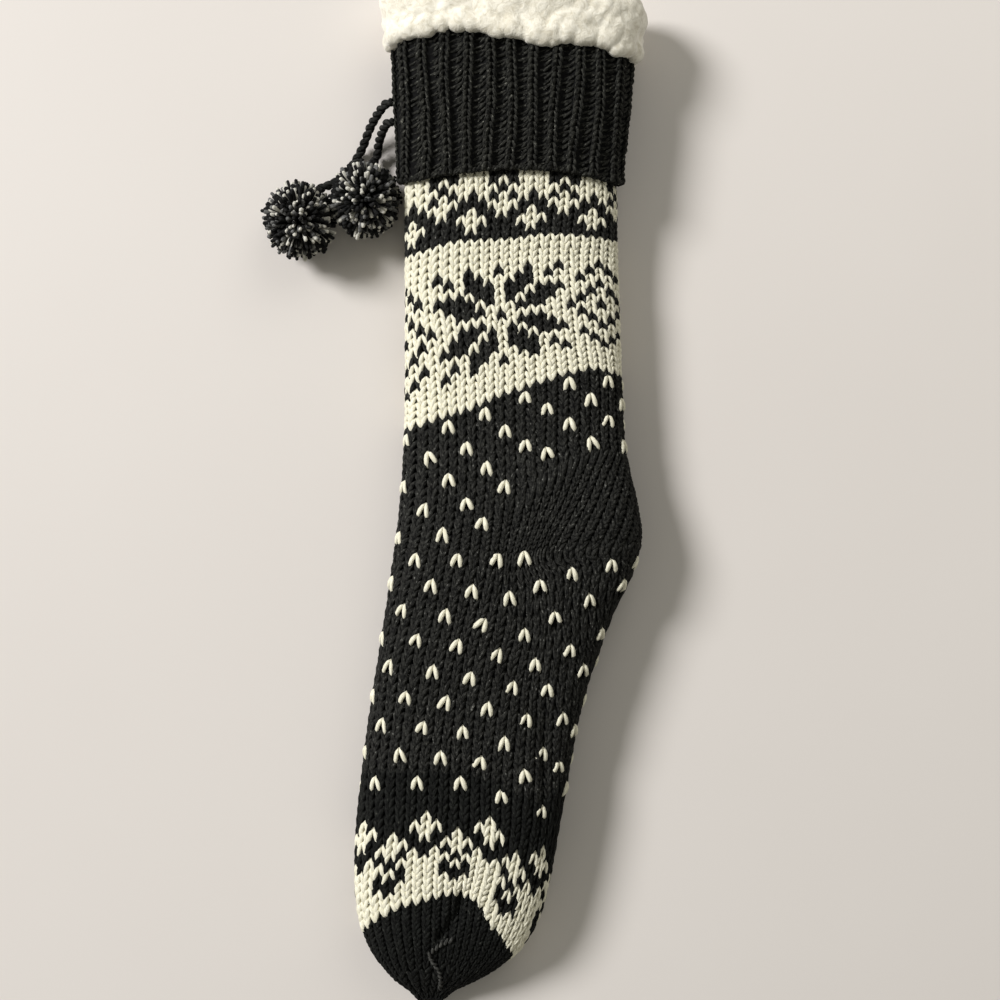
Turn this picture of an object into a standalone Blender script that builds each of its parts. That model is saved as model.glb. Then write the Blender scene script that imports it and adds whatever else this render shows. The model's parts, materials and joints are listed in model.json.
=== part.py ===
"""Knitted slipper sock with a fleece lining, lying on its side as it is laid out flat.

+Y runs up the leg to the mouth, +X points from the instep to the heel, +Z is up.
Every piece takes its place from the section table of the leg and foot, so the cuff sits on
the leg, the fleece collar sits in the mouth and the cords start at the cuff.
"""

from math import ceil, cos, hypot, pi, sin

import bmesh
import bpy
from mathutils import Vector

# Driving dimensions of the knitted body, in metres
LEG_WIDTH = 0.102
LEG_THICKNESS = 0.034
LEG_RISE = 0.238
FOOT_DROP = 0.225
KNIT_WALL = 0.003
UNDERSIDE_PRESS = 0.005
PRESS_BLEND = 0.003
SECTION_STEP = 0.018
MOST_STEEP_WALL = 2.5
TOE_ROOM_WIDTH = 0.012
TOE_ROOM_HEIGHT = 0.006

# The roundness of a flattened section: 2 is an ellipse, more is squarer
SECTION_POWER = 2.5
POINTS_AROUND = 44

# Clearance between two pieces that touch
GAP = 0.0003

# Ribbed cuff, folded down over the top of the leg
CUFF_DEPTH = 0.063
CUFF_WALL = 0.0038
RIB_COUNT = 24
RIB_RELIEF = 0.0016
RIB_CREST_SHARE = 0.5
RIB_SHOULDER_SHARE = 0.12
HEM = LEG_RISE - CUFF_DEPTH
SINK_LENGTH = 0.035

# Fleece collar around the mouth, with its skirt down the inside
RIM_HEIGHT = 0.023
RIM_OVERHANG = 0.0036
FLEECE_PILE = 0.0048
SKIRT_DEPTH = 0.045
LUMP_HEIGHT = 0.0022

# Pompoms of cut yarn and the cords that carry them
POMPOM_RADIUS = 0.018
POMPOM_CORE_SHARE = 0.86
POMPOM_SQUASH = 0.9
LOCK_TAPER = 0.55
LOCK_CLEARANCE = 0.002
CORD_DIAMETER = 0.0046
POMPOM_FROM_LEG = 0.001
POMPOM_BELOW_HEM = 0.014

# Where each cord leaves the cuff's front edge, as a share of the cuff's depth above its hem,
# the side of the pompom that it enters, and its bends on the way: how far out from the exit,
# how far down the leg and how high over the floor each one lies, in metres.
CORD_EXITS = (0.35, 0.50)
CORD_ENTRIES = ((0.10, 0.85, -0.50), (0.40, 0.80, -0.45))
CORD_BENDS = (
    ((0.0035, 0.0010, 0.0200), (0.0075, 0.0065, 0.0105), (0.0092, 0.0125, 0.0045)),
    (
        (0.0040, 0.0015, 0.0200),
        (0.0105, 0.0080, 0.0115),
        (0.0165, 0.0190, 0.0040),
        (0.0225, 0.0280, 0.0026),
        (0.0290, 0.0340, 0.0036),
    ),
)

# Sections of the body, from the mouth to the toe. "along" is a share of LEG_RISE above the
# heel line and of FOOT_DROP below it. "front" and "back" are the instep and heel edges, and
# "slant" how far the back edge lies below the front one, as shares of LEG_WIDTH. "thick" is
# a share of LEG_THICKNESS.
COLUMNS = ("along", "front", "back", "thick", "slant")
BODY_SECTIONS = (
    (1.000, -0.528, 0.542, 1.04, 0.075),
    (0.865, -0.514, 0.524, 1.03, 0.060),
    (0.735, -0.499, 0.489, 1.00, 0.040),
    (0.677, -0.500, 0.500, 1.00, 0.025),
    (0.600, -0.500, 0.503, 1.00, 0.010),
    (0.475, -0.500, 0.512, 1.00, 0.000),
    (0.273, -0.500, 0.528, 1.03, 0.000),
    (0.172, -0.505, 0.540, 1.08, 0.000),
    (0.071, -0.520, 0.592, 1.17, 0.000),
    (0.000, -0.535, 0.618, 1.22, 0.000),
    (-0.075, -0.560, 0.580, 1.22, 0.000),
    (-0.160, -0.588, 0.488, 1.19, 0.000),
    (-0.267, -0.626, 0.400, 1.16, 0.000),
    (-0.395, -0.670, 0.318, 1.14, 0.000),
    (-0.523, -0.705, 0.268, 1.14, 0.000),
    (-0.673, -0.735, 0.210, 1.12, 0.000),
    (-0.816, -0.720, 0.140, 1.02, 0.000),
    (-0.887, -0.664, 0.050, 0.90, 0.000),
    (-0.944, -0.582, -0.100, 0.68, 0.000),
    (-0.983, -0.500, -0.250, 0.42, 0.000),
    (-1.000, -0.430, -0.340, 0.24, 0.000),
)

# Lumps of the fleece around the mouth: waves around it, how high each is and where it starts
COLLAR_LUMPS = (
    (5, 0.45, 0.3),
    (9, 0.35, 1.7),
    (14, 0.30, 4.1),
)

# The cross-section of the rim, up its outer face: "over" is a share of the way from the
# mouth's inside out over the leg and the cuff, "overhang" a share of RIM_OVERHANG and "up" a
# share of RIM_HEIGHT. Down its inner face "pile" is a share of FLEECE_PILE.
RIM_OUTER_FACE = (
    (0.93, 0.00, 0.00),
    (1.00, 0.00, 0.02),
    (1.00, 0.67, 0.18),
    (1.00, 1.00, 0.45),
    (1.00, 0.33, 0.78),
    (0.55, 0.00, 0.97),
)
RIM_INNER_FACE = (
    (0.10, 0.86),
    (0.80, 0.62),
    (1.00, 0.30),
    (1.00, 0.00),
)
SKIRT_PARTS = (0.0, 0.5, 1.0)


def place_of(share):
    """Height along the leg of a table row, above (plus) or below (minus) the heel line."""
    return share * (LEG_RISE if share > 0 else FOOT_DROP)


STATIONS = [place_of(row[0]) for row in BODY_SECTIONS]


def column(name, y):
    """Smooth value of one table column at the height y."""
    index = COLUMNS.index(name)
    values = [row[index] for row in BODY_SECTIONS]
    y = min(max(y, STATIONS[-1]), STATIONS[0])
    low = next(i for i in range(len(STATIONS) - 1) if y >= STATIONS[i + 1])

    def slope(i):
        before = max(i - 1, 0)
        after = min(i + 1, len(values) - 1)
        return (values[after] - values[before]) / (STATIONS[after] - STATIONS[before])

    span = STATIONS[low + 1] - STATIONS[low]
    t = (y - STATIONS[low]) / span
    return (
        (2 * t**3 - 3 * t**2 + 1) * values[low]
        + (t**3 - 2 * t**2 + t) * span * slope(low)
        + (3 * t**2 - 2 * t**3) * values[low + 1]
        + (t**3 - t**2) * span * slope(low + 1)
    )


def underside_at(y):
    """Height of the leg's underside: the cuff lifts it off the floor, and it sinks below the hem."""
    sunk = min(max((HEM - y) / SINK_LENGTH, 0.0), 1.0)
    return (CUFF_WALL + GAP) * (1 - sunk * sunk * (3 - 2 * sunk))


def edges_at(y):
    """Front, back, bottom and top of the knitted body at the height y."""
    bottom = underside_at(y)
    top = bottom + column("thick", y) * LEG_THICKNESS
    return column("front", y) * LEG_WIDTH, column("back", y) * LEG_WIDTH, bottom, top


def inner_edges_at(y):
    """The same four edges of the room inside, where the wall keeps its thickness on a slope."""
    step = 0.001
    ahead = edges_at(y + step)
    behind = edges_at(y - step)
    slopes = [(a - b) / (2 * step) for a, b in zip(ahead, behind)]
    steep = [min(hypot(1, slope), MOST_STEEP_WALL) for slope in slopes]
    front, back, bottom, top = edges_at(y)
    return (
        front + KNIT_WALL * steep[0],
        back - KNIT_WALL * steep[1],
        bottom + KNIT_WALL,
        top - KNIT_WALL * steep[3],
    )


def squared(value):
    return (1 if value >= 0 else -1) * abs(value) ** (2 / SECTION_POWER)


def pressed(height):
    """Height over the floor once the weight presses it flat, with a soft bend at the edge."""
    if height >= PRESS_BLEND:
        return height
    if height <= -PRESS_BLEND:
        return 0.0
    return (height + PRESS_BLEND) ** 2 / (4 * PRESS_BLEND)


def section_point(turn, y, edges):
    """Point of a flattened section. Its underside is pressed flat at the bottom edge."""
    front, back, bottom, top = edges
    across = squared(cos(turn))
    rise = squared(sin(turn))
    middle = (bottom + top) / 2
    if rise >= 0:
        z = middle + (top - middle) * rise
    else:
        z = bottom + pressed(middle - bottom + (middle - bottom + UNDERSIDE_PRESS) * rise)
    slanted = y - column("slant", y) * LEG_WIDTH * across / 2
    return Vector(((front + back) / 2 + (back - front) / 2 * across, slanted, z))


def section(y, edges, turns):
    return [section_point(turn, y, edges) for turn in turns]


def plain_turns():
    return [2 * pi * i / POINTS_AROUND for i in range(POINTS_AROUND)]


def even_turns(y, shares):
    """Turns that lie at the given shares of the length around the section at y."""
    fine = 720
    edges = edges_at(y)
    points = section(y, edges, [2 * pi * i / fine for i in range(fine + 1)])
    lengths = [0.0]
    for before, after in zip(points, points[1:]):
        lengths.append(lengths[-1] + (after - before).length)
    turns = []
    i = 0
    for share in shares:
        target = share * lengths[-1]
        while lengths[i + 1] < target:
            i += 1
        part = (target - lengths[i]) / (lengths[i + 1] - lengths[i])
        turns.append(2 * pi * (i + part) / fine)
    return turns


def outward(turn, y, edges):
    """Outward direction of the section at a turn, square to Y."""
    small = 0.01
    along = section_point(turn + small, y, edges) - section_point(turn - small, y, edges)
    if along.length < 1e-9:
        return Vector((0, 0, -1))
    return Vector((along.z, 0, -along.x)).normalized()


def stations_between(high, low):
    """Heights of the body's sections, from the table's rows and even steps between them."""
    heights = []
    rows = [y for y in STATIONS if low < y < high and abs(y - HEM) > SECTION_STEP / 4]
    rows += [y for y in (HEM, HEM - SINK_LENGTH / 2) if low < y < high]
    rows.sort(reverse=True)
    for start, end in zip([high] + rows, rows + [low]):
        steps = max(1, ceil((start - end) / SECTION_STEP))
        heights += [start + (end - start) * i / steps for i in range(steps)]
    return heights + [low]


def add_ring(mesh, points):
    return [mesh.verts.new(point) for point in points]


def bridge(mesh, first, second):
    count = len(first)
    for i in range(count):
        j = (i + 1) % count
        mesh.faces.new((first[i], first[j], second[j], second[i]))


def close_end(mesh, ring):
    middle = sum((vert.co for vert in ring), Vector()) / len(ring)
    centre = mesh.verts.new(middle)
    for i, vert in enumerate(ring):
        mesh.faces.new((vert, ring[(i + 1) % len(ring)], centre))


def material(name, colour, roughness):
    made = bpy.data.materials.new(name)
    made.use_nodes = True
    shader = made.node_tree.nodes["Principled BSDF"]
    shader.inputs["Base Color"].default_value = (*colour, 1)
    shader.inputs["Roughness"].default_value = roughness
    shader.inputs["Metallic"].default_value = 0
    return made


def add_object(name, mesh, made_of, sharp_angle):
    bmesh.ops.recalc_face_normals(mesh, faces=mesh.faces)
    data = bpy.data.meshes.new(name)
    mesh.to_mesh(data)
    mesh.free()
    data.materials.append(made_of)
    data.shade_smooth()
    data.set_sharp_from_angle(angle=sharp_angle)
    made = bpy.data.objects.new(name, data)
    bpy.context.scene.collection.objects.link(made)
    return made


def make_body(made_of):
    """Leg, heel, foot and toe as one knitted tube, open at the mouth and closed at the toe."""
    mesh = bmesh.new()
    turns = plain_turns()
    heights = stations_between(LEG_RISE, -FOOT_DROP)
    outer = [add_ring(mesh, section(y, edges_at(y), turns)) for y in heights]
    roomy = []
    for y in heights:
        front, back, bottom, top = inner_edges_at(y)
        if back - front > TOE_ROOM_WIDTH and top - bottom > TOE_ROOM_HEIGHT:
            roomy.append(y)
    inner = [add_ring(mesh, section(y, inner_edges_at(y), turns)) for y in roomy]
    for rings in (outer, inner):
        for first, second in zip(rings, rings[1:]):
            bridge(mesh, first, second)
        close_end(mesh, rings[-1])
    bridge(mesh, outer[0], inner[0])
    return add_object("sock_body", mesh, made_of, pi)


def rib_points():
    """Shares around the cuff and the wall there, for the crest and the groove of each rib."""
    shares = []
    walls = []
    shoulder = RIB_SHOULDER_SHARE
    for rib in range(RIB_COUNT):
        for place, wall in (
            (0.0, CUFF_WALL),
            (RIB_CREST_SHARE / 2, CUFF_WALL),
            (RIB_CREST_SHARE, CUFF_WALL),
            (RIB_CREST_SHARE + shoulder, CUFF_WALL - RIB_RELIEF),
            (1 - shoulder, CUFF_WALL - RIB_RELIEF),
        ):
            shares.append((rib + place) / RIB_COUNT)
            walls.append(wall)
    return shares, walls


def make_cuff(made_of):
    """Ribbed tube around the top of the leg, a gap away from it, with its hem turned square."""
    mesh = bmesh.new()
    shares, walls = rib_points()
    outer = []
    inner = []
    for y in stations_between(LEG_RISE, HEM):
        edges = edges_at(y)
        inside = []
        outside = []
        for turn, wall in zip(even_turns(y, shares), walls):
            on_leg = section_point(turn, y, edges)
            away = outward(turn, y, edges)
            inside.append(on_leg + away * GAP)
            crest = on_leg + away * (GAP + wall)
            crest.z = max(crest.z, 0.0)
            outside.append(crest)
        inner.append(add_ring(mesh, inside))
        outer.append(add_ring(mesh, outside))
    for rings in (outer, inner):
        for first, second in zip(rings, rings[1:]):
            bridge(mesh, first, second)
    bridge(mesh, outer[0], inner[0])
    bridge(mesh, outer[-1], inner[-1])
    return add_object("ribbed_cuff", mesh, made_of, pi / 5)


def lump(share):
    """How much the fleece swells at a share of the way around the mouth, from -1 to 1."""
    return sum(size * sin(2 * pi * waves * share + start) for waves, size, start in COLLAR_LUMPS)


def skirt_points(turn, inset):
    """Points down the skirt, from the mouth to its lower edge, an inset away from the wall."""
    points = []
    for part in SKIRT_PARTS:
        y = LEG_RISE - SKIRT_DEPTH * part
        edges = inner_edges_at(y)
        points.append(section_point(turn, y, edges) - outward(turn, y, edges) * inset)
    return points


def make_collar(made_of):
    """Puffy fleece rim on the mouth, with a skirt that lines the top of the leg."""
    mesh = bmesh.new()
    mouth = inner_edges_at(LEG_RISE)
    span = KNIT_WALL + GAP + CUFF_WALL
    loops = []
    for i, turn in enumerate(plain_turns()):
        swell = lump(i / POINTS_AROUND) * LUMP_HEIGHT
        height = RIM_HEIGHT + swell
        away = outward(turn, LEG_RISE, mouth)
        seat = section_point(turn, LEG_RISE, mouth) + Vector((0, GAP, 0))
        points = skirt_points(turn, GAP)[::-1]
        points[-1].y += GAP
        for over, overhang, up in RIM_OUTER_FACE:
            reach = span * over + (RIM_OVERHANG + swell) * overhang
            points.append(seat + away * reach + Vector((0, height * up, 0)))
        for pile, up in RIM_INNER_FACE:
            points.append(seat - away * FLEECE_PILE * pile + Vector((0, height * up, 0)))
        points += skirt_points(turn, FLEECE_PILE)[1:]
        for point in points:
            point.z = max(point.z, 0.0)
        loops.append(add_ring(mesh, points))
    for i, loop in enumerate(loops):
        bridge(mesh, loop, loops[(i + 1) % len(loops)])
    return add_object("fleece_collar", mesh, made_of, pi)


def squashed(point, axis):
    """Point of a round pompom once its neighbour squashes it a little along the axis."""
    return point - axis * point.dot(axis) * (1 - POMPOM_SQUASH)


def make_pompom(name, centre, squash_along, entry, made_of):
    """Ball of yarn with tapered locks drawn out of every third face of its core."""
    mesh = bmesh.new()
    core_radius = POMPOM_RADIUS * POMPOM_CORE_SHARE
    bmesh.ops.create_icosphere(mesh, subdivisions=3, radius=core_radius)
    mesh.faces.ensure_lookup_table()
    cord_room = CORD_DIAMETER / 2 + LOCK_CLEARANCE
    chosen = []
    for face in mesh.faces:
        middle = face.calc_center_median()
        beside_cord = middle.cross(entry).length < cord_room and middle.dot(entry) > 0
        if face.index % 3 == 0 and not beside_cord:
            chosen.append(face)
    drawn = bmesh.ops.extrude_discrete_faces(mesh, faces=chosen)
    for face in drawn["faces"]:
        middle = face.calc_center_median()
        tip = middle.normalized() * POMPOM_RADIUS
        for vert in face.verts:
            vert.co = tip + (vert.co - middle) * LOCK_TAPER
    for vert in mesh.verts:
        vert.co = squashed(vert.co, squash_along)
        vert.co.z = max(vert.co.z, -centre.z)
    made = add_object(name, mesh, made_of, pi / 6)
    made.location = centre
    return made


def cord_route(number, centre, beyond, entry):
    """Route of a cord: out of the cuff's front edge, over the floor and into its pompom."""
    exit_y = HEM + CUFF_DEPTH * CORD_EXITS[number - 1]
    front, _, bottom, top = edges_at(exit_y)
    start = Vector((front - GAP - CUFF_WALL - GAP, exit_y, (bottom + top) / 2))
    route = [start]
    for out, down, height in CORD_BENDS[number - 1]:
        route.append(Vector((start.x - out, start.y - down, height)))
    core_radius = POMPOM_RADIUS * POMPOM_CORE_SHARE
    surface = centre + squashed(entry * core_radius, beyond)
    for reach in (1.3 * CORD_DIAMETER, 0.5 * CORD_DIAMETER, 2 * GAP):
        route.append(surface + entry * reach)
    return route


def make_cord(name, route, made_of):
    """Round cord along a smooth curve through its route's points."""
    padded = [2 * route[0] - route[1]] + route + [2 * route[-1] - route[-2]]
    path = []
    for a, b, c, d in zip(padded, padded[1:], padded[2:], padded[3:]):
        steps = max(2, ceil((c - b).length / CORD_DIAMETER))
        for i in range(steps):
            t = i / steps
            path.append(
                0.5 * (2 * b + (c - a) * t + (2 * a - 5 * b + 4 * c - d) * t**2
                       + (3 * b - a - 3 * c + d) * t**3)
            )
    path.append(route[-1])
    curve = bpy.data.curves.new(name, "CURVE")
    curve.dimensions = "3D"
    curve.bevel_depth = CORD_DIAMETER / 2
    curve.bevel_resolution = 2
    curve.use_fill_caps = True
    spline = curve.splines.new("POLY")
    spline.points.add(len(path) - 1)
    for point, place in zip(spline.points, path):
        point.co = (*place, 1)
    curve.materials.append(made_of)
    made = bpy.data.objects.new(name, curve)
    bpy.context.scene.collection.objects.link(made)
    return made


def clear_scene():
    for obj in list(bpy.data.objects):
        bpy.data.objects.remove(obj)


def main():
    clear_scene()
    knit = material("charcoal_knit", (0.045, 0.045, 0.048), 0.95)
    rib = material("charcoal_rib", (0.040, 0.040, 0.043), 0.95)
    fleece = material("cream_fleece", (0.80, 0.76, 0.66), 0.95)
    yarn = material("marled_yarn", (0.16, 0.16, 0.17), 0.95)
    cord_yarn = material("charcoal_cord", (0.035, 0.035, 0.038), 0.95)

    pieces = [make_body(knit), make_cuff(rib), make_collar(fleece)]

    # The pompoms lie on the floor at the instep side of the cuff's hem, one beside the leg
    # and one beyond it, and both cords come out of the cuff's front edge.
    beside_leg = edges_at(HEM - POMPOM_RADIUS)[0] - POMPOM_RADIUS - POMPOM_FROM_LEG
    near = Vector((beside_leg, HEM - POMPOM_BELOW_HEM, POMPOM_RADIUS))
    beyond = Vector((-0.95, -0.31, 0)).normalized()
    far = near + beyond * (2 * POMPOM_RADIUS * POMPOM_SQUASH + 2 * GAP)
    for number, centre in enumerate((near, far), 1):
        entry = Vector(CORD_ENTRIES[number - 1]).normalized()
        pieces.append(make_pompom(f"pompom_{number}", centre, beyond, entry, yarn))
        route = cord_route(number, centre, beyond, entry)
        pieces.append(make_cord(f"cord_{number}", route, cord_yarn))

    # The empty puts the origin under the middle of the sock, its cuff and its collar.
    base = bpy.data.objects.new("slipper_sock", None)
    bpy.context.scene.collection.objects.link(base)
    for piece in pieces:
        piece.parent = base
    bpy.context.view_layer.update()
    sock = pieces[:3]
    corners = [piece.matrix_world @ Vector(corner) for piece in sock for corner in piece.bound_box]
    base.location.x = -(min(c.x for c in corners) + max(c.x for c in corners)) / 2
    base.location.y = -(min(c.y for c in corners) + max(c.y for c in corners)) / 2


main()
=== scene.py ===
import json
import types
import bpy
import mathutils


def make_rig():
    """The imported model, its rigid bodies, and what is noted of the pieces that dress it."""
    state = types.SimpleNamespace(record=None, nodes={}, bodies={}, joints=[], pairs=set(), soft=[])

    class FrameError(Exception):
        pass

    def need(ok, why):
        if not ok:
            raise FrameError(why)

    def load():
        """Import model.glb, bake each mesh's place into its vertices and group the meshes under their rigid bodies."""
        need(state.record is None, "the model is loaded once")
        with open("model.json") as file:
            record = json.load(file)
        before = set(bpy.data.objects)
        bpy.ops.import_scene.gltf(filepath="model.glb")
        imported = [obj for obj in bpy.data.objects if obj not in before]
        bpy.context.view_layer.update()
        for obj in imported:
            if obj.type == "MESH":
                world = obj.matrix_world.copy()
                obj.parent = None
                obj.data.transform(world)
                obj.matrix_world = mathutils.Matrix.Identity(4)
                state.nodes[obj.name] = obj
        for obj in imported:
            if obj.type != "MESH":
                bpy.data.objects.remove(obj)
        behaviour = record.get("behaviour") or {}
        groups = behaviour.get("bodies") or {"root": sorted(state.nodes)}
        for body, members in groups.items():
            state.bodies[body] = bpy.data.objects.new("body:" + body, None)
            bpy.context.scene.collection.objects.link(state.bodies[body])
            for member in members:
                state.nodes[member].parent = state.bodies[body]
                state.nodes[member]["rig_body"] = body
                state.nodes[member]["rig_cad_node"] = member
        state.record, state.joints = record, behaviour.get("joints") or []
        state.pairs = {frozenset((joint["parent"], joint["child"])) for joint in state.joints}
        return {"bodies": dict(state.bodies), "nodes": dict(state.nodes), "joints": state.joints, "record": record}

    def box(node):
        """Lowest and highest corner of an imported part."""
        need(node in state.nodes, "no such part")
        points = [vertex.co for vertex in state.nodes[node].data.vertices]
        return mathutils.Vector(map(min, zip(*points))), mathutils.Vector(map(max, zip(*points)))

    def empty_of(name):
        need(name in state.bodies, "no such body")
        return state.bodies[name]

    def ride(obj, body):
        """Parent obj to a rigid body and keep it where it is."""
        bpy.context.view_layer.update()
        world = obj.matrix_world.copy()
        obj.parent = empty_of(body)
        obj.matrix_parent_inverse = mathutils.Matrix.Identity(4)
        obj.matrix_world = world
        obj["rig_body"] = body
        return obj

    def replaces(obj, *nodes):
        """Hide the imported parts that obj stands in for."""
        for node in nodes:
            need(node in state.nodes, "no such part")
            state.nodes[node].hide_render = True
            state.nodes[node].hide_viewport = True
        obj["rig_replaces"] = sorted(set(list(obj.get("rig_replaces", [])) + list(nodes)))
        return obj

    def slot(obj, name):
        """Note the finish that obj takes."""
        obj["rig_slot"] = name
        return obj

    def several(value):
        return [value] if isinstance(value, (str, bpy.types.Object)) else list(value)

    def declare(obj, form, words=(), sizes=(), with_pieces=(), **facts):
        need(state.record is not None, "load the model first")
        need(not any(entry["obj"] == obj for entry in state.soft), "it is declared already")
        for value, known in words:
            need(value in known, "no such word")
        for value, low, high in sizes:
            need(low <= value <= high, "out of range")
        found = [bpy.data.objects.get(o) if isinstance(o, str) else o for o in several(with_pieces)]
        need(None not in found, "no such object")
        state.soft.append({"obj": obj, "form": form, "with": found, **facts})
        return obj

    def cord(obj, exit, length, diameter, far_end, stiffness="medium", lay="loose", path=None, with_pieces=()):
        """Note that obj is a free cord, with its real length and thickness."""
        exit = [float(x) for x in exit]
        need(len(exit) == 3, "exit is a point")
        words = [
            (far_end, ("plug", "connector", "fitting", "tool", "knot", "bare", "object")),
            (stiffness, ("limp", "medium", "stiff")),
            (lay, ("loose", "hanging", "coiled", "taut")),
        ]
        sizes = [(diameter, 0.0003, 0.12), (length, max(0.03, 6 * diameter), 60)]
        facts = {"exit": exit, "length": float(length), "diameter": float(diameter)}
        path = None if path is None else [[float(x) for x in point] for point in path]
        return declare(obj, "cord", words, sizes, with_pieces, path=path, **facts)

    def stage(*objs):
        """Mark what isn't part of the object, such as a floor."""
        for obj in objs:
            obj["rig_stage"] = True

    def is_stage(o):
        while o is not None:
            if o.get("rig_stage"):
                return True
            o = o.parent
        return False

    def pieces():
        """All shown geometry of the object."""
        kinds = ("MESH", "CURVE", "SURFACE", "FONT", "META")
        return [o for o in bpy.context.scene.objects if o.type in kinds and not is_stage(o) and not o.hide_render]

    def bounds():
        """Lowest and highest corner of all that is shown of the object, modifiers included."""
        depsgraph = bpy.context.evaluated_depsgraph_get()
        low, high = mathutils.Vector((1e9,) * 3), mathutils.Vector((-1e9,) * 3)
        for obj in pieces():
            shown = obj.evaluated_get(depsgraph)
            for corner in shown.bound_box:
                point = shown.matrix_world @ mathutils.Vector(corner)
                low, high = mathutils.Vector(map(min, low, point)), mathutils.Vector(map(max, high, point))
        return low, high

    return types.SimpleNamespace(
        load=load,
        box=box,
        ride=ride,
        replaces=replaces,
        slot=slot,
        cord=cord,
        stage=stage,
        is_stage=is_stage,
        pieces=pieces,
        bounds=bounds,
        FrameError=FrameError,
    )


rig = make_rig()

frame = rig.load()

# Looks of the knitted slipper sock. Metres, +Y up the leg, +X from the instep to the heel.
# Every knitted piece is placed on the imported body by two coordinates: the wale, counted
# around the sock, and the row, counted down from the cream band under the cuff.

import json
from math import cos, pi, radians, sin, tan

import bmesh
import bpy
import numpy as np
from mathutils import Matrix, Vector
from mathutils.bvhtree import BVHTree

CAD_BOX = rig.bounds()
RANDOM = np.random.default_rng(7)
MM = 0.001
FLOOR_GAP = 0.2 * MM

# The frame's sizes that the looks start from
BODY_LOW, BODY_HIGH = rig.box("sock_body")
CUFF_LOW, CUFF_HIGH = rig.box("ribbed_cuff")
FOOT_DROP = 0.225
HEEL_LINE = BODY_LOW[1] + FOOT_DROP

# Camera straight above the sock, as in the photo
CAMERA_HEIGHT = 0.65
VIEW_WIDTH = 0.480
VIEW_CENTRE = (0.0005, -0.0036, 0.017)

# Knit gauge
WALES = 48
FRONT_WALE = -10.8
BACK_WALE = 13.2
FIRST_ROW = -11
LAST_ROW = 88
# Between these rows the skin's own tilt fades out of the stitches' normals
STEADY_ROWS = (80, 86)
WALE_PITCH = 5.0 * MM
YARN_HALF_WIDTH = 1.10 * MM
YARN_HALF_HEIGHT = 0.90 * MM
YARN_SINK = 0.75 * MM
BACKING_SINK = 1.5 * MM

# The upright line through the sock that the wale lines and creases are measured from
SOCK_AXIS = 5.74 * MM

# Row lines: the height of a row over the heel line, in millimetres, at seven places across
# the sock from its front edge (-1) to its back edge (1).
ACROSS = (-1, -0.5, 0, 0.25, 0.5, 0.75, 1)
ROW_LINES = (
    (-11, (176.6, 184.8, 185.3, 184.3, 183.4, 181.4, 178.1)),
    (0, (134.4, 142.1, 143.3, 145.2, 145.2, 144.2, 141.6)),
    (4, (119.5, 127.4, 130.3, 131.8, 132.2, 132.5, 130.6)),
    (16, (68.6, 78.7, 87.8, 91.2, 93.8, 94.6, 91.2)),
    (21, (51.4, 59.8, 70.3, 74.4, 78.7, 80.9, 77.3)),
    (31, (13.4, 16.1, 27.4, 41.3, 45.1, 47.5, 45.6)),
    (34, (1.0, 3.4, 14.4, 25.4, 33.1, 37.0, 35.0)),
    (37, (-9.1, -9.6, -10.1, -6.2, -4.8, -3.8, -4.8)),
    (40, (-20.2, -22.6, -28.3, -22.1, -15.8, -12.0, -10.1)),
    (43, (-33.1, -36.0, -42.2, -46.6, -36.0, -28.3, -20.2)),
    (46, (-47.0, -49.0, -54.2, -58.1, -61.4, -52.3, -44.2)),
    (49, (-60.0, -62.9, -67.7, -70.6, -74.9, -68.6, -57.6)),
    (52, (-74.4, -76.8, -79.7, -83.0, -86.9, -88.8, -76.8)),
    (55, (-88.3, -90.2, -92.6, -96.5, -100.8, -103.7, -89.8)),
    (58, (-101.8, -103.7, -105.1, -109.0, -112.8, -116.6, -104.2)),
    (61, (-116.6, -116.6, -116.6, -121.0, -126.2, -132.5, -118.6)),
    (66, (-142.6, -137.3, -136.3, -138.2, -143.5, -151.2, -157.9)),
    (68, (-152.6, -146.4, -144.5, -146.4, -153.6, -160.8, -165.6)),
    (76, (-189.1, -177.6, -171.8, -174.4, -189.0, -197.0, -203.4)),
    (88, (-224.6, -224.6, -224.6, -224.6, -224.6, -224.6, -224.6)),
)

# Wale lines: how far five wales lie to the right of the sock's axis, in millimetres, by row.
# The last line only sets how the wales lean into the toe cap.
WALE_MARKS = (-8, -4, 0, 4, 8)
WALE_LINES = (
    (-11, (-42.0, -22.6, -3.4, 16.1, 35.8)),
    (-7, (-42.0, -22.6, -3.4, 16.1, 35.8)),
    (4, (-45.0, -25.4, -5.8, 13.2, 33.2)),
    (16, (-41.2, -22.1, -3.4, 16.2, 35.7)),
    (22, (-40.2, -21.6, -3.1, 17.3, 38.0)),
    (31, (-41.3, -21.8, -2.6, 16.8, 37.9)),
    (34, (-43.2, -23.3, -3.4, 16.8, 37.0)),
    (37, (-45.6, -25.4, -6.2, 5.8, 17.0)),
    (40, (-48.0, -28.8, -8.9, 7.2, 21.1)),
    (43, (-51.8, -31.2, -12.5, 6.7, 21.1)),
    (49, (-58.1, -37.4, -19.2, 1.4, 17.8)),
    (55, (-61.9, -41.8, -23.0, -2.9, 16.3)),
    (61, (-65.3, -45.1, -24.5, -4.8, 15.4)),
    (65, (-66.2, -45.8, -25.0, -4.8, 13.0)),
    (76, (-67.2, -47.8, -28.3, -13.4, -2.4)),
    (88, (-38.9, -36.5, -34.1, -31.2, -28.3)),
)

# How many wales the heel gathers in at the back edge, row by row
GATHERED_WALES = ((33, 0), (37, 4.6), (40, 5.4), (43, 5.4), (46, 3.3), (49, 2.4), (52, 1.4),
                  (58, 0.6), (61, 0), (66, 0))
HEEL_TOP_ROW = 34
HEEL_LOW_ROW = 37
HEEL_ROW_HEIGHT = 2.9 * MM

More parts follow.
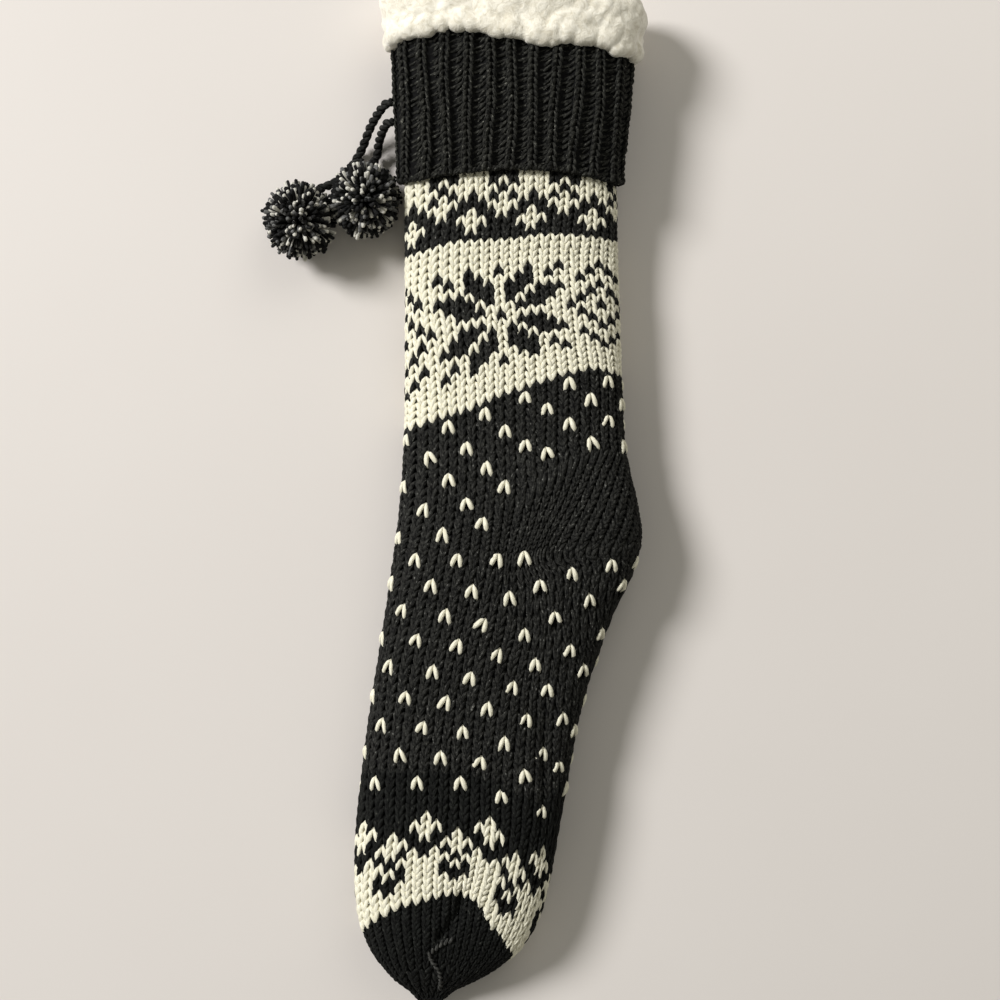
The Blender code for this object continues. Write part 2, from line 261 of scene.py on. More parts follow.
# Creases of the upper side: depth and half width, then the points of the line, to the right of
# the sock's axis and over the heel line, all in millimetres. A ridge has a depth below zero.
CREASES = (
    (1.3, 6.5, ((-2.9, -50.4), (10.0, -78.0), (23.5, -108.0))),
    (0.8, 3.0, ((9.1, -49.0), (13.0, -63.8), (17.8, -78.7), (16.3, -106.6), (15.4, -134.9))),
    (1.6, 8.0, ((22.0, -4.0), (42.7, -31.0))),
    (-1.0, 12.0, ((12.0, 22.0), (46.0, 8.0))),
    (0.9, 4.0, ((2.0, 15.0), (-4.0, -8.0), (9.0, -49.0))),
    (2.4, 2.8, ((-22.8, -168.0), (-24.5, -175.0), (-28.0, -182.0), (-33.1, -188.5))),
    (0.8, 5.5, ((-38.5, -198.2), (-26.0, -202.5), (-10.5, -201.5))),
    (0.8, 7.0, ((-45.0, -142.0), (-52.0, -165.0))),
    (0.7, 6.0, ((-30.0, 110.0), (-20.0, 84.0))),
    (1.3, 9.0, ((-30.0, 124.0), (0.0, 127.0), (44.0, 128.0))),
)

# Colour charts. "#" is charcoal and "." cream. The lower half of a star or lattice mirrors
# the upper one.
STAR = (
    "#..#..#..#..#",
    ".#.##...##.#.",
    "...###.###...",
    "###.##.##.###",
    ".###.#.#.###.",
    "..###...###..",
    "......#......",
)
STAR += STAR[-2::-1]
LATTICE = (
    "...#...",
    "..#.#..",
    ".#...#.",
    "...#...",
    "..#.#..",
    ".#...#.",
    "#..#..#",
)
LATTICE += LATTICE[-2::-1]
# The wales that the motifs are centred on
MOTIFS = ((0, STAR), (24, STAR), (10, LATTICE), (38, LATTICE))
# Six stitches of the peaks, from the dark side to the cream side
PEAKS = (
    ".#####",
    "..###.",
    ".##.##",
    "##...#",
    "#.#.#.",
    "...#..",
    "..#.#.",
    "..###.",
    "...#..",
)
MOTIF_ROW = 4
PEAK_PERIOD = 6
PEAK_OFFSET = 3
TOE_PEAK_ROW = 65
BAND_PEAK_ROW = -2
LICE_ROW = 22
LICE_STEP = 3
LICE_ROWS = 14
TOE_CAP_ROW = 76
# The toe cap is knitted tighter, and two wales run together from the narrow row on
TOE_CAP_SPAN = 2 / 3
NARROW_ROW = 84
# How far from the front edge the single stitches reach in the rows next to the plain heel
LICE_REACH = {34: 9.5, 37: 15.3}


def hermite(x, xs, ys):
    """Smooth curve through the points (xs, ys), at every x."""
    xs = np.asarray(xs, float)
    ys = np.asarray(ys, float)
    slopes = np.gradient(ys, xs)
    x = np.clip(x, xs[0], xs[-1])
    low = np.clip(np.searchsorted(xs, x, side="right") - 1, 0, len(xs) - 2)
    span = xs[low + 1] - xs[low]
    t = (x - xs[low]) / span
    return (
        (2 * t**3 - 3 * t**2 + 1) * ys[low]
        + (t**3 - 2 * t**2 + t) * span * slopes[low]
        + (3 * t**2 - 2 * t**3) * ys[low + 1]
        + (t**3 - t**2) * span * slopes[low + 1]
    )


def smoothstep(low, high, x):
    t = np.clip((x - low) / (high - low), 0, 1)
    return t * t * (3 - 2 * t)


def unit(vectors):
    return vectors / np.maximum(np.linalg.norm(vectors, axis=-1, keepdims=True), 1e-12)


def blurred(values, axis, times, wrap):
    """Values after some passes of a three-point blur along one axis."""
    mode = "wrap" if wrap else "clip"
    spots = np.arange(values.shape[axis])
    for _ in range(times):
        before = values.take(spots - 1, axis, mode=mode)
        after = values.take(spots + 1, axis, mode=mode)
        values = (before + 2 * values + after) / 4
    return values


class Sections:
    """Plane sections of a CAD node's outer or inner skin, at even steps of Y.

    The place around a section is p: -1 at the front edge, up over the top to 1 at the back
    edge, and on under the sock to 3, which is the front edge again. Each half is measured by
    length.
    """

    AROUND = 128
    RAYS = 160
    STEP = 2.5 * MM
    # A section's middle is taken from the corners this near to it. The rays start or end this
    # far out, and are flattened as the sock is.
    NEAR = 12 * MM
    REACH = 0.3
    FLATNESS = 0.45

    def __init__(self, node, low, high, inner=False):
        mesh = frame["nodes"][node].data
        corners = np.array([v.co[:] for v in mesh.vertices])
        tree = BVHTree.FromPolygons(corners.tolist(), [list(p.vertices) for p in mesh.polygons])
        self.levels = np.arange(low, high + self.STEP / 2, self.STEP)
        loops = [self.loop(tree, corners, y, inner) for y in self.levels]
        self.points = blurred(blurred(np.array(loops), 1, 4, True), 0, 3, False)

    def loop(self, tree, corners, y, inner):
        """Even points around one section, from the front edge over the top."""
        near = corners[np.abs(corners[:, 1] - y) < self.NEAR]
        middle = (near.min(0) + near.max(0)) / 2
        centre = Vector((middle[0], y, middle[2]))
        found = []
        for i in range(self.RAYS):
            turn = 2 * pi * i / self.RAYS
            way = Vector((cos(turn), 0, self.FLATNESS * sin(turn))).normalized()
            if inner:
                hit = tree.ray_cast(centre, way, self.REACH)[0]
            else:
                hit = tree.ray_cast(centre + way * self.REACH, -way, self.REACH)[0]
            found.append((hit.x, hit.z) if hit else (centre.x, centre.z))
        found = np.array(found)
        found = np.roll(found, -int(found[:, 0].argmin()), 0)[::-1]
        found = np.roll(found, 1, 0)
        back = int(found[:, 0].argmax())
        upper = found[: back + 1]
        lower = np.vstack([found[back:], found[:1]])
        if upper[:, 1].mean() < lower[:, 1].mean():
            upper, lower = lower[::-1], upper[::-1]
        halves = []
        for half in (upper, lower):
            steps = np.linalg.norm(np.diff(half, axis=0), axis=1)
            lengths = np.concatenate([[0], np.cumsum(steps)])
            even = np.linspace(0, lengths[-1], self.AROUND // 2 + 1)[:-1]
            halves.append(np.stack([np.interp(even, lengths, half[:, k]) for k in (0, 1)], axis=1))
        return np.vstack(halves)

    def xz(self, p, y):
        """X and Z of the skin at the places p and heights y, carried on past both ends."""
        row = (y - self.levels[0]) / self.STEP
        top = len(self.levels) - 2
        low = np.clip(np.floor(row).astype(int), 0, top)
        part = np.clip(row - low, -4, 5)[..., None]
        turn = (np.asarray(p) + 1) / 4 * self.AROUND
        left = np.floor(turn).astype(int)
        share = (turn - left)[..., None]
        left = left % self.AROUND
        right = (left + 1) % self.AROUND
        grid = self.points
        near = grid[low, left] * (1 - share) + grid[low, right] * share
        far = grid[low + 1, left] * (1 - share) + grid[low + 1, right] * share
        return near * (1 - part) + far * part

    def point(self, p, y):
        p, y = np.broadcast_arrays(np.asarray(p, float), np.asarray(y, float))
        xz = self.xz(p, y)
        return np.stack([xz[..., 0], y, xz[..., 1]], axis=-1)

    def normal(self, p, y):
        around = self.point(np.asarray(p) + 0.02, y) - self.point(np.asarray(p) - 0.02, y)
        along = self.point(p, y + 1.5 * MM) - self.point(p, y - 1.5 * MM)
        return unit(np.cross(around, along))

    def across(self, p, y):
        """The place across the sock, -1 to 1, of the places p at the heights y."""
        x = self.xz(p, y)[..., 0]
        front = self.xz(np.full_like(x, -1.0), y)[..., 0]
        back = self.xz(np.full_like(x, 1.0), y)[..., 0]
        return np.clip((2 * x - front - back) / np.maximum(back - front, MM), -1, 1)


# The body's sections start just over its tip, and end where the collar covers its top
BODY_START = BODY_LOW[1] + 1.0 * MM
BODY_END = BODY_HIGH[1] - 9 * MM
BODY = Sections("sock_body", BODY_START, BODY_END)


def row_line(row, across):
    """Y of a row at a place across the sock."""
    rows, lines = zip(*ROW_LINES)
    columns = np.stack([hermite(row, rows, column) for column in zip(*lines)], axis=-1)
    spot = np.clip(np.searchsorted(ACROSS, across, side="right") - 1, 0, len(ACROSS) - 2)
    places = np.asarray(ACROSS, float)
    share = (across - places[spot]) / (places[spot + 1] - places[spot])
    share = share * 0.6 + smoothstep(0, 1, share) * 0.4
    low = np.take_along_axis(columns, spot[..., None], -1)[..., 0]
    high = np.take_along_axis(columns, spot[..., None] + 1, -1)[..., 0]
    return HEEL_LINE + (low * (1 - share) + high * share) * MM


def nearer(z):
    """How much larger the camera sees a thing at the height z than one at mid-height."""
    return CAMERA_HEIGHT / (CAMERA_HEIGHT - (z - VIEW_CENTRE[2]))


def row_heights(rows, places):
    """Y of the rows at the places, so that the camera sees them on their row lines."""
    heights = row_line(rows, places * 0)
    for _ in range(4):
        seen = row_line(rows, BODY.across(places, heights))
        z = BODY.xz(places, heights)[..., 1]
        heights = VIEW_CENTRE[1] + (seen - VIEW_CENTRE[1]) / nearer(z)
    return heights


def crease_depth(points, places):
    """How deep the creases press the upper side in."""
    x = (points[..., 0] - SOCK_AXIS) / MM
    y = (points[..., 1] - HEEL_LINE) / MM
    total = np.zeros(x.shape)
    for depth, width, line in CREASES:
        nearest = np.full(x.shape, 1e3)
        for (ax, ay), (bx, by) in zip(line, line[1:]):
            dx = bx - ax
            dy = by - ay
            share = np.clip(((x - ax) * dx + (y - ay) * dy) / (dx * dx + dy * dy), 0, 1)
            nearest = np.minimum(nearest, np.hypot(x - ax - share * dx, y - ay - share * dy))
        total += depth * np.exp(-((nearest / width) ** 2))
    return total * smoothstep(0, 0.25, 1 - np.abs(places)) * MM


class Knit:
    """The skin of the sock by wale and row."""

    WALE_STEP = 0.2
    ROW_STEP = 0.25

    def __init__(self):
        self.wales = np.arange(FRONT_WALE, FRONT_WALE + WALES + 1e-6, self.WALE_STEP)
        self.rows = np.arange(FIRST_ROW - 2, LAST_ROW + 0.5, self.ROW_STEP)
        places = blurred(self.wale_places(), 0, 3, False)
        rows = np.broadcast_to(self.rows[:, None], places.shape)
        heights = row_heights(rows, places)
        heights = blurred(blurred(heights, 1, 3, True), 0, 2, False)
        self.places = places
        self.heights = heights
        plain = BODY.point(places, heights)
        normals = BODY.normal(places, heights)
        self.skin = plain - normals * crease_depth(plain, places)[..., None]
        tilted = np.cross(np.gradient(self.skin, axis=1), np.gradient(self.skin, axis=0))
        tilted = unit(tilted) * np.sign((tilted * normals).sum(-1, keepdims=True))
        steady = smoothstep(*STEADY_ROWS, rows)[..., None]
        self.normals = unit(tilted * (1 - steady) + normals * 1.01)

    def wale_places(self):
        """The place around the sock of every wale in every row, from the wale lines."""
        fine = np.linspace(-1, 1, 121)
        rows = np.broadcast_to(self.rows[:, None], (len(self.rows), len(fine)))
        upper = np.broadcast_to(fine, rows.shape)
        skin = BODY.point(upper, row_heights(rows, upper))
        seen = VIEW_CENTRE[0] + (skin[..., 0] - VIEW_CENTRE[0]) * nearer(skin[..., 2])
        line_rows, lines = zip(*WALE_LINES)
        marks = [SOCK_AXIS + hermite(self.rows, line_rows, column) * MM for column in zip(*lines)]
        shifts = hermite(self.rows, *zip(*GATHERED_WALES))
        found = []
        for j, shift in enumerate(shifts):
            spots = [np.interp(mark[j], seen[j], fine) for mark in marks]
            wales = [FRONT_WALE, *WALE_MARKS, BACK_WALE + shift]
            near = hermite(self.wales, wales, [-1, *spots, 1])
            far = 1 + 2 * (self.wales - wales[-1]) / (FRONT_WALE + WALES - wales[-1])
            found.append(np.where(self.wales <= wales[-1], near, far))
        found = np.maximum.accumulate(np.array(found), axis=1)
        # In the toe cap every wale keeps its place around the sock down to the tip
        found[self.rows > TOE_CAP_ROW] = found[self.rows == TOE_CAP_ROW]
        return found

    def weights(self, wale, row):
        wale, row = np.broadcast_arrays(np.asarray(wale, float), np.asarray(row, float))
        wale = FRONT_WALE + (wale - FRONT_WALE) % WALES
        i = (wale - FRONT_WALE) / self.WALE_STEP
        j = np.clip((row - self.rows[0]) / self.ROW_STEP, 0, len(self.rows) - 1.001)
        left = np.minimum(i.astype(int), len(self.wales) - 2)
        low = j.astype(int)
        return left, low, (i - left)[..., None], (j - low)[..., None]

    def mixed(self, grid, wale, row):
        left, low, s, t = self.weights(wale, row)
        near = grid[low, left] * (1 - s) + grid[low, left + 1] * s
        far = grid[low + 1, left] * (1 - s) + grid[low + 1, left + 1] * s
        return near * (1 - t) + far * t

    def point(self, wale, row, height=0.0):
        normal = self.normal(wale, row)
        return self.mixed(self.skin, wale, row) + normal * np.asarray(height)[..., None]

    def normal(self, wale, row):
        return unit(self.mixed(self.normals, wale, row))


KNIT = Knit()


def is_cream(wale, row):
    """Colour of one stitch: True for cream."""
    wale = (wale + 13) % WALES - 13
    if row >= TOE_CAP_ROW:
        return False
    if row >= TOE_PEAK_ROW + len(PEAKS) or 0 <= row < MOTIF_ROW:
        return True
    if row >= TOE_PEAK_ROW:
        return PEAKS[row - TOE_PEAK_ROW][(wale + PEAK_OFFSET) % PEAK_PERIOD] == "."
    if row <= BAND_PEAK_ROW:
        step = BAND_PEAK_ROW - row
        return step >= len(PEAKS) or PEAKS[step][(wale + PEAK_OFFSET) % PEAK_PERIOD] == "."
    if row < 0:
        return False
    if row < MOTIF_ROW + len(STAR):
        for centre, chart in MOTIFS:
            half = len(chart[0]) // 2
            place = (wale - centre + WALES // 2) % WALES - WALES // 2
            if abs(place) <= half:
                return chart[row - MOTIF_ROW][place + half] == "."
        return True
    if row < LICE_ROW - 1:
        return True
    count, left = divmod(row - LICE_ROW, LICE_STEP)
    if left or not 0 <= count < LICE_ROWS:
        return False
    from_front = abs((wale - FRONT_WALE + WALES / 2) % WALES - WALES / 2)
    if from_front > LICE_REACH.get(row, WALES):
        return False
    return wale % 4 == (2 if count % 2 == 0 else 0)


def add_piece(name, points, faces, materials, face_materials=None, yarn=None):
    """Mesh object from arrays. Faces is a list of arrays (n, 3) or (n, 4) of point numbers."""
    mesh = bpy.data.meshes.new(name)
    points = np.asarray(points, np.float32).reshape(-1, 3)
    corners = np.concatenate([block.reshape(-1) for block in faces])
    sizes = np.concatenate([np.full(len(block), block.shape[1]) for block in faces])
    starts = np.concatenate([[0], np.cumsum(sizes)[:-1]])
    mesh.vertices.add(len(points))
    mesh.vertices.foreach_set("co", points.ravel())
    mesh.loops.add(len(corners))
    mesh.loops.foreach_set("vertex_index", corners.astype(np.int32))
    mesh.polygons.add(len(sizes))
    mesh.polygons.foreach_set("loop_start", starts.astype(np.int32))
    for made_of in materials:
        mesh.materials.append(made_of)
    if face_materials is not None:
        mesh.polygons.foreach_set("material_index", np.asarray(face_materials, np.int32))
    if yarn is not None:
        layer = mesh.attributes.new("yarn", "FLOAT_VECTOR", "POINT")
        layer.data.foreach_set("vector", np.asarray(yarn, np.float32).ravel())
    mesh.update(calc_edges=True)
    mesh.shade_smooth()
    made = bpy.data.objects.new(name, mesh)
    bpy.context.scene.collection.objects.link(made)
    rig.ride(made, "root")
    return made


def band(here, there, count):
    """Quads between two rings of points, whose numbers start at here and at there."""
    a = np.arange(count)
    b = (a + 1) % count
    return np.stack([here + a, there + a, there + b, here + b], axis=1)


def turned(quads):
    """The same quads facing the other way."""
    return quads[:, [0, 3, 2, 1]]


def tubes(lines, normals, widths, heights, sides):
    """Closed tubes along lines (n, k, 3). Widths and heights are half sizes, (n, k) or (k,).

    It returns points, faces and the yarn coordinate: length along, then the two ways across.
    """
    count, knots = lines.shape[:2]
    widths = np.broadcast_to(widths, (count, knots))
    heights = np.broadcast_to(heights, (count, knots))
    along = unit(np.gradient(lines, axis=1))
    across = unit(np.cross(along, normals))
    up = np.cross(across, along)
    turns = 2 * pi * np.arange(sides) / sides
    side_part = widths[..., None] * np.cos(turns)
    up_part = heights[..., None] * np.sin(turns)
    rings = (
        lines[:, :, None]
        + across[:, :, None] * side_part[..., None]
        + up[:, :, None] * up_part[..., None]
    )
    first_tip = lines[:, 0] - along[:, 0] * widths[:, :1] * 0.5
    last_tip = lines[:, -1] + along[:, -1] * widths[:, -1:] * 0.5
    tips = np.stack([first_tip, last_tip], axis=1)
    points = np.concatenate([rings.reshape(count, -1, 3), tips], axis=1)
    points[..., 2] = np.maximum(points[..., 2], FLOOR_GAP)

    lengths = np.linalg.norm(np.diff(lines, axis=1), axis=2)
    lengths = np.concatenate([np.zeros((count, 1)), np.cumsum(lengths, axis=1)], axis=1)
    offsets = RANDOM.random((count, 1)) * 4.0
    far = np.broadcast_to((lengths + offsets)[..., None], side_part.shape)
    rings_yarn = np.stack([far, side_part + offsets[..., None] * 2, up_part], axis=-1)
    ends = np.stack([lengths[:, 0] + offsets[:, 0], lengths[:, -1] + offsets[:, 0]], axis=1)
    tips_yarn = np.stack([ends, np.broadcast_to(offsets * 2, ends.shape), ends * 0], axis=-1)
    yarn = np.concatenate([rings_yarn.reshape(count, -1, 3), tips_yarn], axis=1)

    quads = np.concatenate(
        [band(ring * sides, (ring + 1) * sides, sides) for ring in range(knots - 1)]
    )
    a = np.arange(sides)
    b = (a + 1) % sides
    last = (knots - 1) * sides
    tip = np.full(sides, knots * sides)
    fans = np.concatenate(
        [np.stack([tip, a, b], axis=1), np.stack([tip + 1, last + b, last + a], axis=1)]
    )
    bases = np.arange(count)[:, None, None] * (knots * sides + 2)
    faces = [(quads + bases).reshape(-1, 4), (fans + bases).reshape(-1, 3)]
    return points.reshape(-1, 3), faces, yarn.reshape(-1, 3)


def joined(parts):
    """One set of points, faces and yarn coordinates out of several."""
    points, faces, yarn = zip(*parts)
    bases = np.cumsum([0] + [len(block) for block in points[:-1]])
    quads = [pair[0] + base for pair, base in zip(faces, bases)]
    fans = [pair[1] + base for pair, base in zip(faces, bases)]
    return np.concatenate(points), [np.concatenate(quads), np.concatenate(fans)], np.concatenate(yarn)


# Materials

# Yarn coordinates run along the yarn first. Fibres are long that way, and wind around it.
FIBRE_SCALE = (260, 1500, 1500)
FIBRE_TURN = (0, 0, radians(14))


def new_material(name, roughness, specular=0.25):
    """Material with its node tree and its shader."""
    made = bpy.data.materials.new(name)
    made.use_nodes = True
    shader = made.node_tree.nodes["Principled BSDF"]
    shader.inputs["Roughness"].default_value = roughness
    shader.inputs["Specular IOR Level"].default_value = specular
    return made, made.node_tree, shader


def add_node(tree, kind, values, sources):
    """Shader node with some inputs set and some linked to sources."""
    made = tree.nodes.new(kind)
    for name, value in values.items():
        made.inputs[name].default_value = value
    for name, source in sources.items():
        tree.links.new(source, made.inputs[name])
    return made


def object_place(tree):
    return tree.nodes.new("ShaderNodeTexCoord").outputs["Object"]


def noise(tree, place, scale, detail, roughness=0.5, distortion=0.0):
    values = {"Scale": scale, "Detail": detail, "Roughness": roughness, "Distortion": distortion}
    return add_node(tree, "ShaderNodeTexNoise", values, {"Vector": place}).outputs["Fac"]


def colour_ramp(tree, factor, stops):
    """Colour by a factor: two or more stops, each a place from 0 to 1 and a colour."""
    made = add_node(tree, "ShaderNodeValToRGB", {}, {"Fac": factor})
    elements = made.color_ramp.elements
    for k, (place, colour) in enumerate(stops):
        stop = elements[k] if k < 2 else elements.new(place)
        stop.position = place
        stop.color = (*colour, 1)
    return made.outputs["Color"]


def relief(tree, height, strength, distance, under=None):
    """Bump by a height, on top of another bump if one is given."""
    sources = {"Height": height}
    if under is not None:
        sources["Normal"] = under
    values = {"Strength": strength, "Distance": distance}
    return add_node(tree, "ShaderNodeBump", values, sources).outputs["Normal"]


def yarn_material(name, dark, light, sheen, streak=0.5, pale=None):
    """Spun yarn: fibre streaks along the yarn, specks, a few pale fibres and a fibre bump."""
    made, tree, shader = new_material(name, 0.92, 0.12)
    shader.inputs["Sheen Weight"].default_value = sheen
    shader.inputs["Sheen Roughness"].default_value = 0.6
    shader.inputs["Sheen Tint"].default_value = (*light, 1)
    yarn = tree.nodes.new("ShaderNodeAttribute")
    yarn.attribute_name = "yarn"
    stretch = add_node(tree, "ShaderNodeMapping", {"Scale": FIBRE_SCALE, "Rotation": FIBRE_TURN},
                       {"Vector": yarn.outputs["Vector"]})
    fibres = noise(tree, stretch.outputs["Vector"], scale=1.0, detail=4, roughness=0.65)
    specks = noise(tree, object_place(tree), scale=760, detail=4, roughness=0.62)
    mix = add_node(tree, "ShaderNodeMix", {"Factor": 0.5}, {"A": fibres, "B": specks})
    stops = [(0.5 - 0.22 * streak, dark), (0.5 + 0.30 * streak, light)]
    if pale:
        stops.append((0.56 + 0.30 * streak, pale))
    colour = colour_ramp(tree, mix.outputs["Result"], stops)
    tree.links.new(colour, shader.inputs["Base Color"])
    tree.links.new(relief(tree, fibres, 0.9, 0.6 * MM), shader.inputs["Normal"])
    return made


def fleece_material(name, deep, light):
    """Curly pile: soft curls with fine hair on them, the curls' hollows darker as painted shade."""
    made, tree, shader = new_material(name, 0.95)
    shader.inputs["Sheen Weight"].default_value = 0.5
    shader.inputs["Sheen Roughness"].default_value = 0.6
    place = object_place(tree)
    curls = noise(tree, place, scale=260, detail=6, roughness=0.7, distortion=1.2)
    fine = noise(tree, place, scale=1400, detail=3)
    # The colour follows the curls' bump: darker in its hollows, as painted shade
    colour = colour_ramp(tree, curls, [(0.34, deep), (0.58, light)])
    tree.links.new(colour, shader.inputs["Base Color"])
    pile = relief(tree, fine, 0.6, 0.3 * MM, under=relief(tree, curls, 0.6, 1.0 * MM))
    tree.links.new(pile, shader.inputs["Normal"])
    return made


CHARCOAL = yarn_material("charcoal_yarn", (0.003, 0.003, 0.003), (0.038, 0.038, 0.034), 0.05, 0.34,
                         (0.24, 0.24, 0.22))
# The toe's yarn is the charcoal yarn made darker: painted shade of the toe, which slopes away from the light
TOE_SHADE_YARN = yarn_material("toe_yarn_painted_shade", (0.002, 0.002, 0.002), (0.017, 0.018, 0.016), 0.02, 0.36,
                         (0.07, 0.07, 0.06))
CREAM = yarn_material("cream_yarn", (0.68, 0.65, 0.50), (0.94, 0.91, 0.76), 0.12)
RIB_YARN = yarn_material("rib_yarn", (0.002, 0.002, 0.002), (0.043, 0.043, 0.037), 0.04, 0.34,
                         (0.26, 0.26, 0.22))
SEAM_YARN = yarn_material("seam_yarn", (0.010, 0.010, 0.010), (0.10, 0.10, 0.09), 0.06, 0.38)
CORD_YARN = yarn_material("cord_yarn", (0.003, 0.003, 0.003), (0.040, 0.040, 0.037), 0.05, 0.4)
# Yarns of the walls behind the stitches: the charcoal and the cream made far darker, as painted shade of the gaps
# between stitches and of the rib's recesses
WALL_SHADE_YARN = yarn_material("wall_yarn_painted_shade", (0.002, 0.002, 0.002), (0.008, 0.008, 0.008), 0.0)
CREAM_WALL_SHADE = yarn_material("cream_wall_painted_shade", (0.22, 0.20, 0.15), (0.36, 0.33, 0.26), 0.0)
POM_DARK = yarn_material("pompom_dark", (0.004, 0.004, 0.004), (0.026, 0.026, 0.026), 0.06)
POM_GREY = yarn_material("pompom_grey", (0.07, 0.07, 0.07), (0.24, 0.24, 0.23), 0.08)
POM_PALE = yarn_material("pompom_pale", (0.46, 0.45, 0.40), (0.78, 0.76, 0.68), 0.10)
FLEECE = fleece_material("cream_fleece", (0.66, 0.61, 0.48), (0.90, 0.86, 0.74))


# Camera, straight above the sock

def add_camera():
    data = bpy.data.cameras.new("camera")
    half_angle = np.arctan(VIEW_WIDTH / 2 / CAMERA_HEIGHT)
    data.lens = data.sensor_width / 2 / tan(half_angle)
    camera = bpy.data.objects.new("camera", data)
    x, y, z = VIEW_CENTRE
    camera.location = (x, y, z + CAMERA_HEIGHT)
    bpy.context.scene.collection.objects.link(camera)
    bpy.context.scene.camera = camera


add_camera()

# Cords and pompoms, on the routes of the CAD model's own cords

CORD_DIAMETER = 0.0046
CORD_STEP = 0.0007
CORD_ROUTES = (
    (
        (-0.0506, 0.1766, 0.0215),
        (-0.0541, 0.1756, 0.0200),
        (-0.0581, 0.1701, 0.0105),
        (-0.0598, 0.1641, 0.0045),
        (-0.0626, 0.1588, 0.0072),
        (-0.0630, 0.1557, 0.0090),
        (-0.0632, 0.1542, 0.0099),
    ),
    (
        (-0.0511, 0.1861, 0.0216),
        (-0.0551, 0.1846, 0.0200),
        (-0.0616, 0.1781, 0.0115),
        (-0.0676, 0.1671, 0.0040),
        (-0.0736, 0.1581, 0.0026),
        (-0.0801, 0.1521, 0.0036),
        (-0.0880, 0.1472, 0.0084),
        (-0.0895, 0.1443, 0.0100),
        (-0.0901, 0.1429, 0.0108),
    ),
)
PLY_TURN = 0.0082


def smooth_route(route, step):
    """Even points along a smooth curve through a cord's route."""
    knots = np.array(route)
    padded = np.vstack([2 * knots[0] - knots[1], knots, 2 * knots[-1] - knots[-2]])
    path = []
    for a, b, c, d in zip(padded, padded[1:], padded[2:], padded[3:]):
        for t in np.arange(0, 1, 0.05):
            path.append(
                0.5 * (2 * b + (c - a) * t + (2 * a - 5 * b + 4 * c - d) * t**2
                       + (3 * b - a - 3 * c + d) * t**3)
            )
    path.append(knots[-1])
    path = np.array(path)
    lengths = np.concatenate([[0], np.cumsum(np.linalg.norm(np.diff(path, axis=0), axis=1))])
    even = np.linspace(0, lengths[-1], max(int(lengths[-1] / step), 4))
    return np.stack([np.interp(even, lengths, path[:, k]) for k in range(3)], 1), lengths[-1]


def side_ways(path):
    """Two directions square to a path at every point, carried along without twist."""
    along = unit(np.gradient(path, axis=0))
    first = unit(np.cross(along[0], (0.3, 0.2, 1.0)))
    ways = [first]
    for tangent in along[1:]:
        way = ways[-1] - tangent * np.dot(ways[-1], tangent)
        ways.append(way / np.linalg.norm(way))
    ways = np.array(ways)
    return ways, np.cross(along, ways)


def add_cord(number, pompom):
    """Two plies wound around each other along the cord's route."""
    path, length = smooth_route(CORD_ROUTES[number - 1], CORD_STEP)
    first, second = side_ways(path)
    travelled = np.linspace(0, length, len(path))
    parts = []
    ply_radius = CORD_DIAMETER / 4
    for ply in range(2):
        turn = 2 * pi * travelled / PLY_TURN + pi * ply
        out = first * np.cos(turn)[:, None] + second * np.sin(turn)[:, None]
        line = path + out * ply_radius
        parts.append(tubes(line[None], out[None], ply_radius * 1.12, ply_radius * 0.98, 10))
    points, faces, yarn = joined(parts)
    cord = add_piece(f"twisted_cord_{number}", points, faces, [CORD_YARN], yarn=yarn)
    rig.replaces(cord, f"cord_{number}")
    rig.slot(cord, "charcoal_cord")
    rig.cord(
        cord,
        exit=CORD_ROUTES[number - 1][0],
        length=length,
        diameter=CORD_DIAMETER,
        far_end="fitting",
        stiffness="limp",
        lay="loose",
        path=[tuple(point) for point in path[::4]] + [tuple(path[-1])],
        with_pieces=[pompom],
    )


POMPOM_STRANDS = 880
STRAND_HALF = 1.02 * MM


def add_pompom(number):
    """Ball of cut yarn: strands from the middle out, each with a blunt end."""
    low, high = (np.array(corner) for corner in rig.box(f"pompom_{number}"))
    centre = (low + high) / 2
    half = (high - low) / 2
    i = np.arange(POMPOM_STRANDS) + 0.5
    tilt = np.arccos(1 - 2 * i / POMPOM_STRANDS)
    turn = pi * (1 + 5**0.5) * i
    ways = np.stack([np.cos(turn) * np.sin(tilt), np.sin(turn) * np.sin(tilt), np.cos(tilt)], 1)
    ways = unit(ways + RANDOM.normal(0, 0.07, ways.shape))
    reach = RANDOM.uniform(0.88, 1.05, (len(ways), 1))
    bend = RANDOM.normal(0, 0.10, ways.shape)
    shares = np.array([0.35, 0.62, 0.86, 1.0])
    spots = ways[:, None] * shares[:, None] * reach[:, None] + bend[:, None] * (
        shares[:, None] - 0.35) ** 2
    lines = centre + spots * half
    lines[..., 2] = np.maximum(lines[..., 2], STRAND_HALF * 0.8)
    sides = unit(np.cross(ways, RANDOM.normal(0, 1, ways.shape)))
    normals = np.broadcast_to(sides[:, None], lines.shape)
    widths = np.array([0.5, 0.85, 1.0, 0.92]) * STRAND_HALF
    sizes = RANDOM.uniform(0.85, 1.15, (len(ways), 1))
    points, faces, yarn = tubes(lines, normals, widths * sizes, widths * sizes * 0.85, 6)
    kinds = RANDOM.choice(3, len(ways), p=(0.57, 0.21, 0.22))
    per_quads = len(faces[0]) // len(ways)
    per_tris = len(faces[1]) // len(ways)
    face_kinds = np.concatenate([np.repeat(kinds, per_quads), np.repeat(kinds, per_tris)])
    ball = add_piece(f"pompom_yarn_{number}", points, faces, [POM_DARK, POM_GREY, POM_PALE],
                     face_kinds, yarn)
    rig.replaces(ball, f"pompom_{number}")
    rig.slot(ball, "marled_yarn")
    return ball


for number in (1, 2):
    add_cord(number, add_pompom(number))


# Stitches of the leg and foot

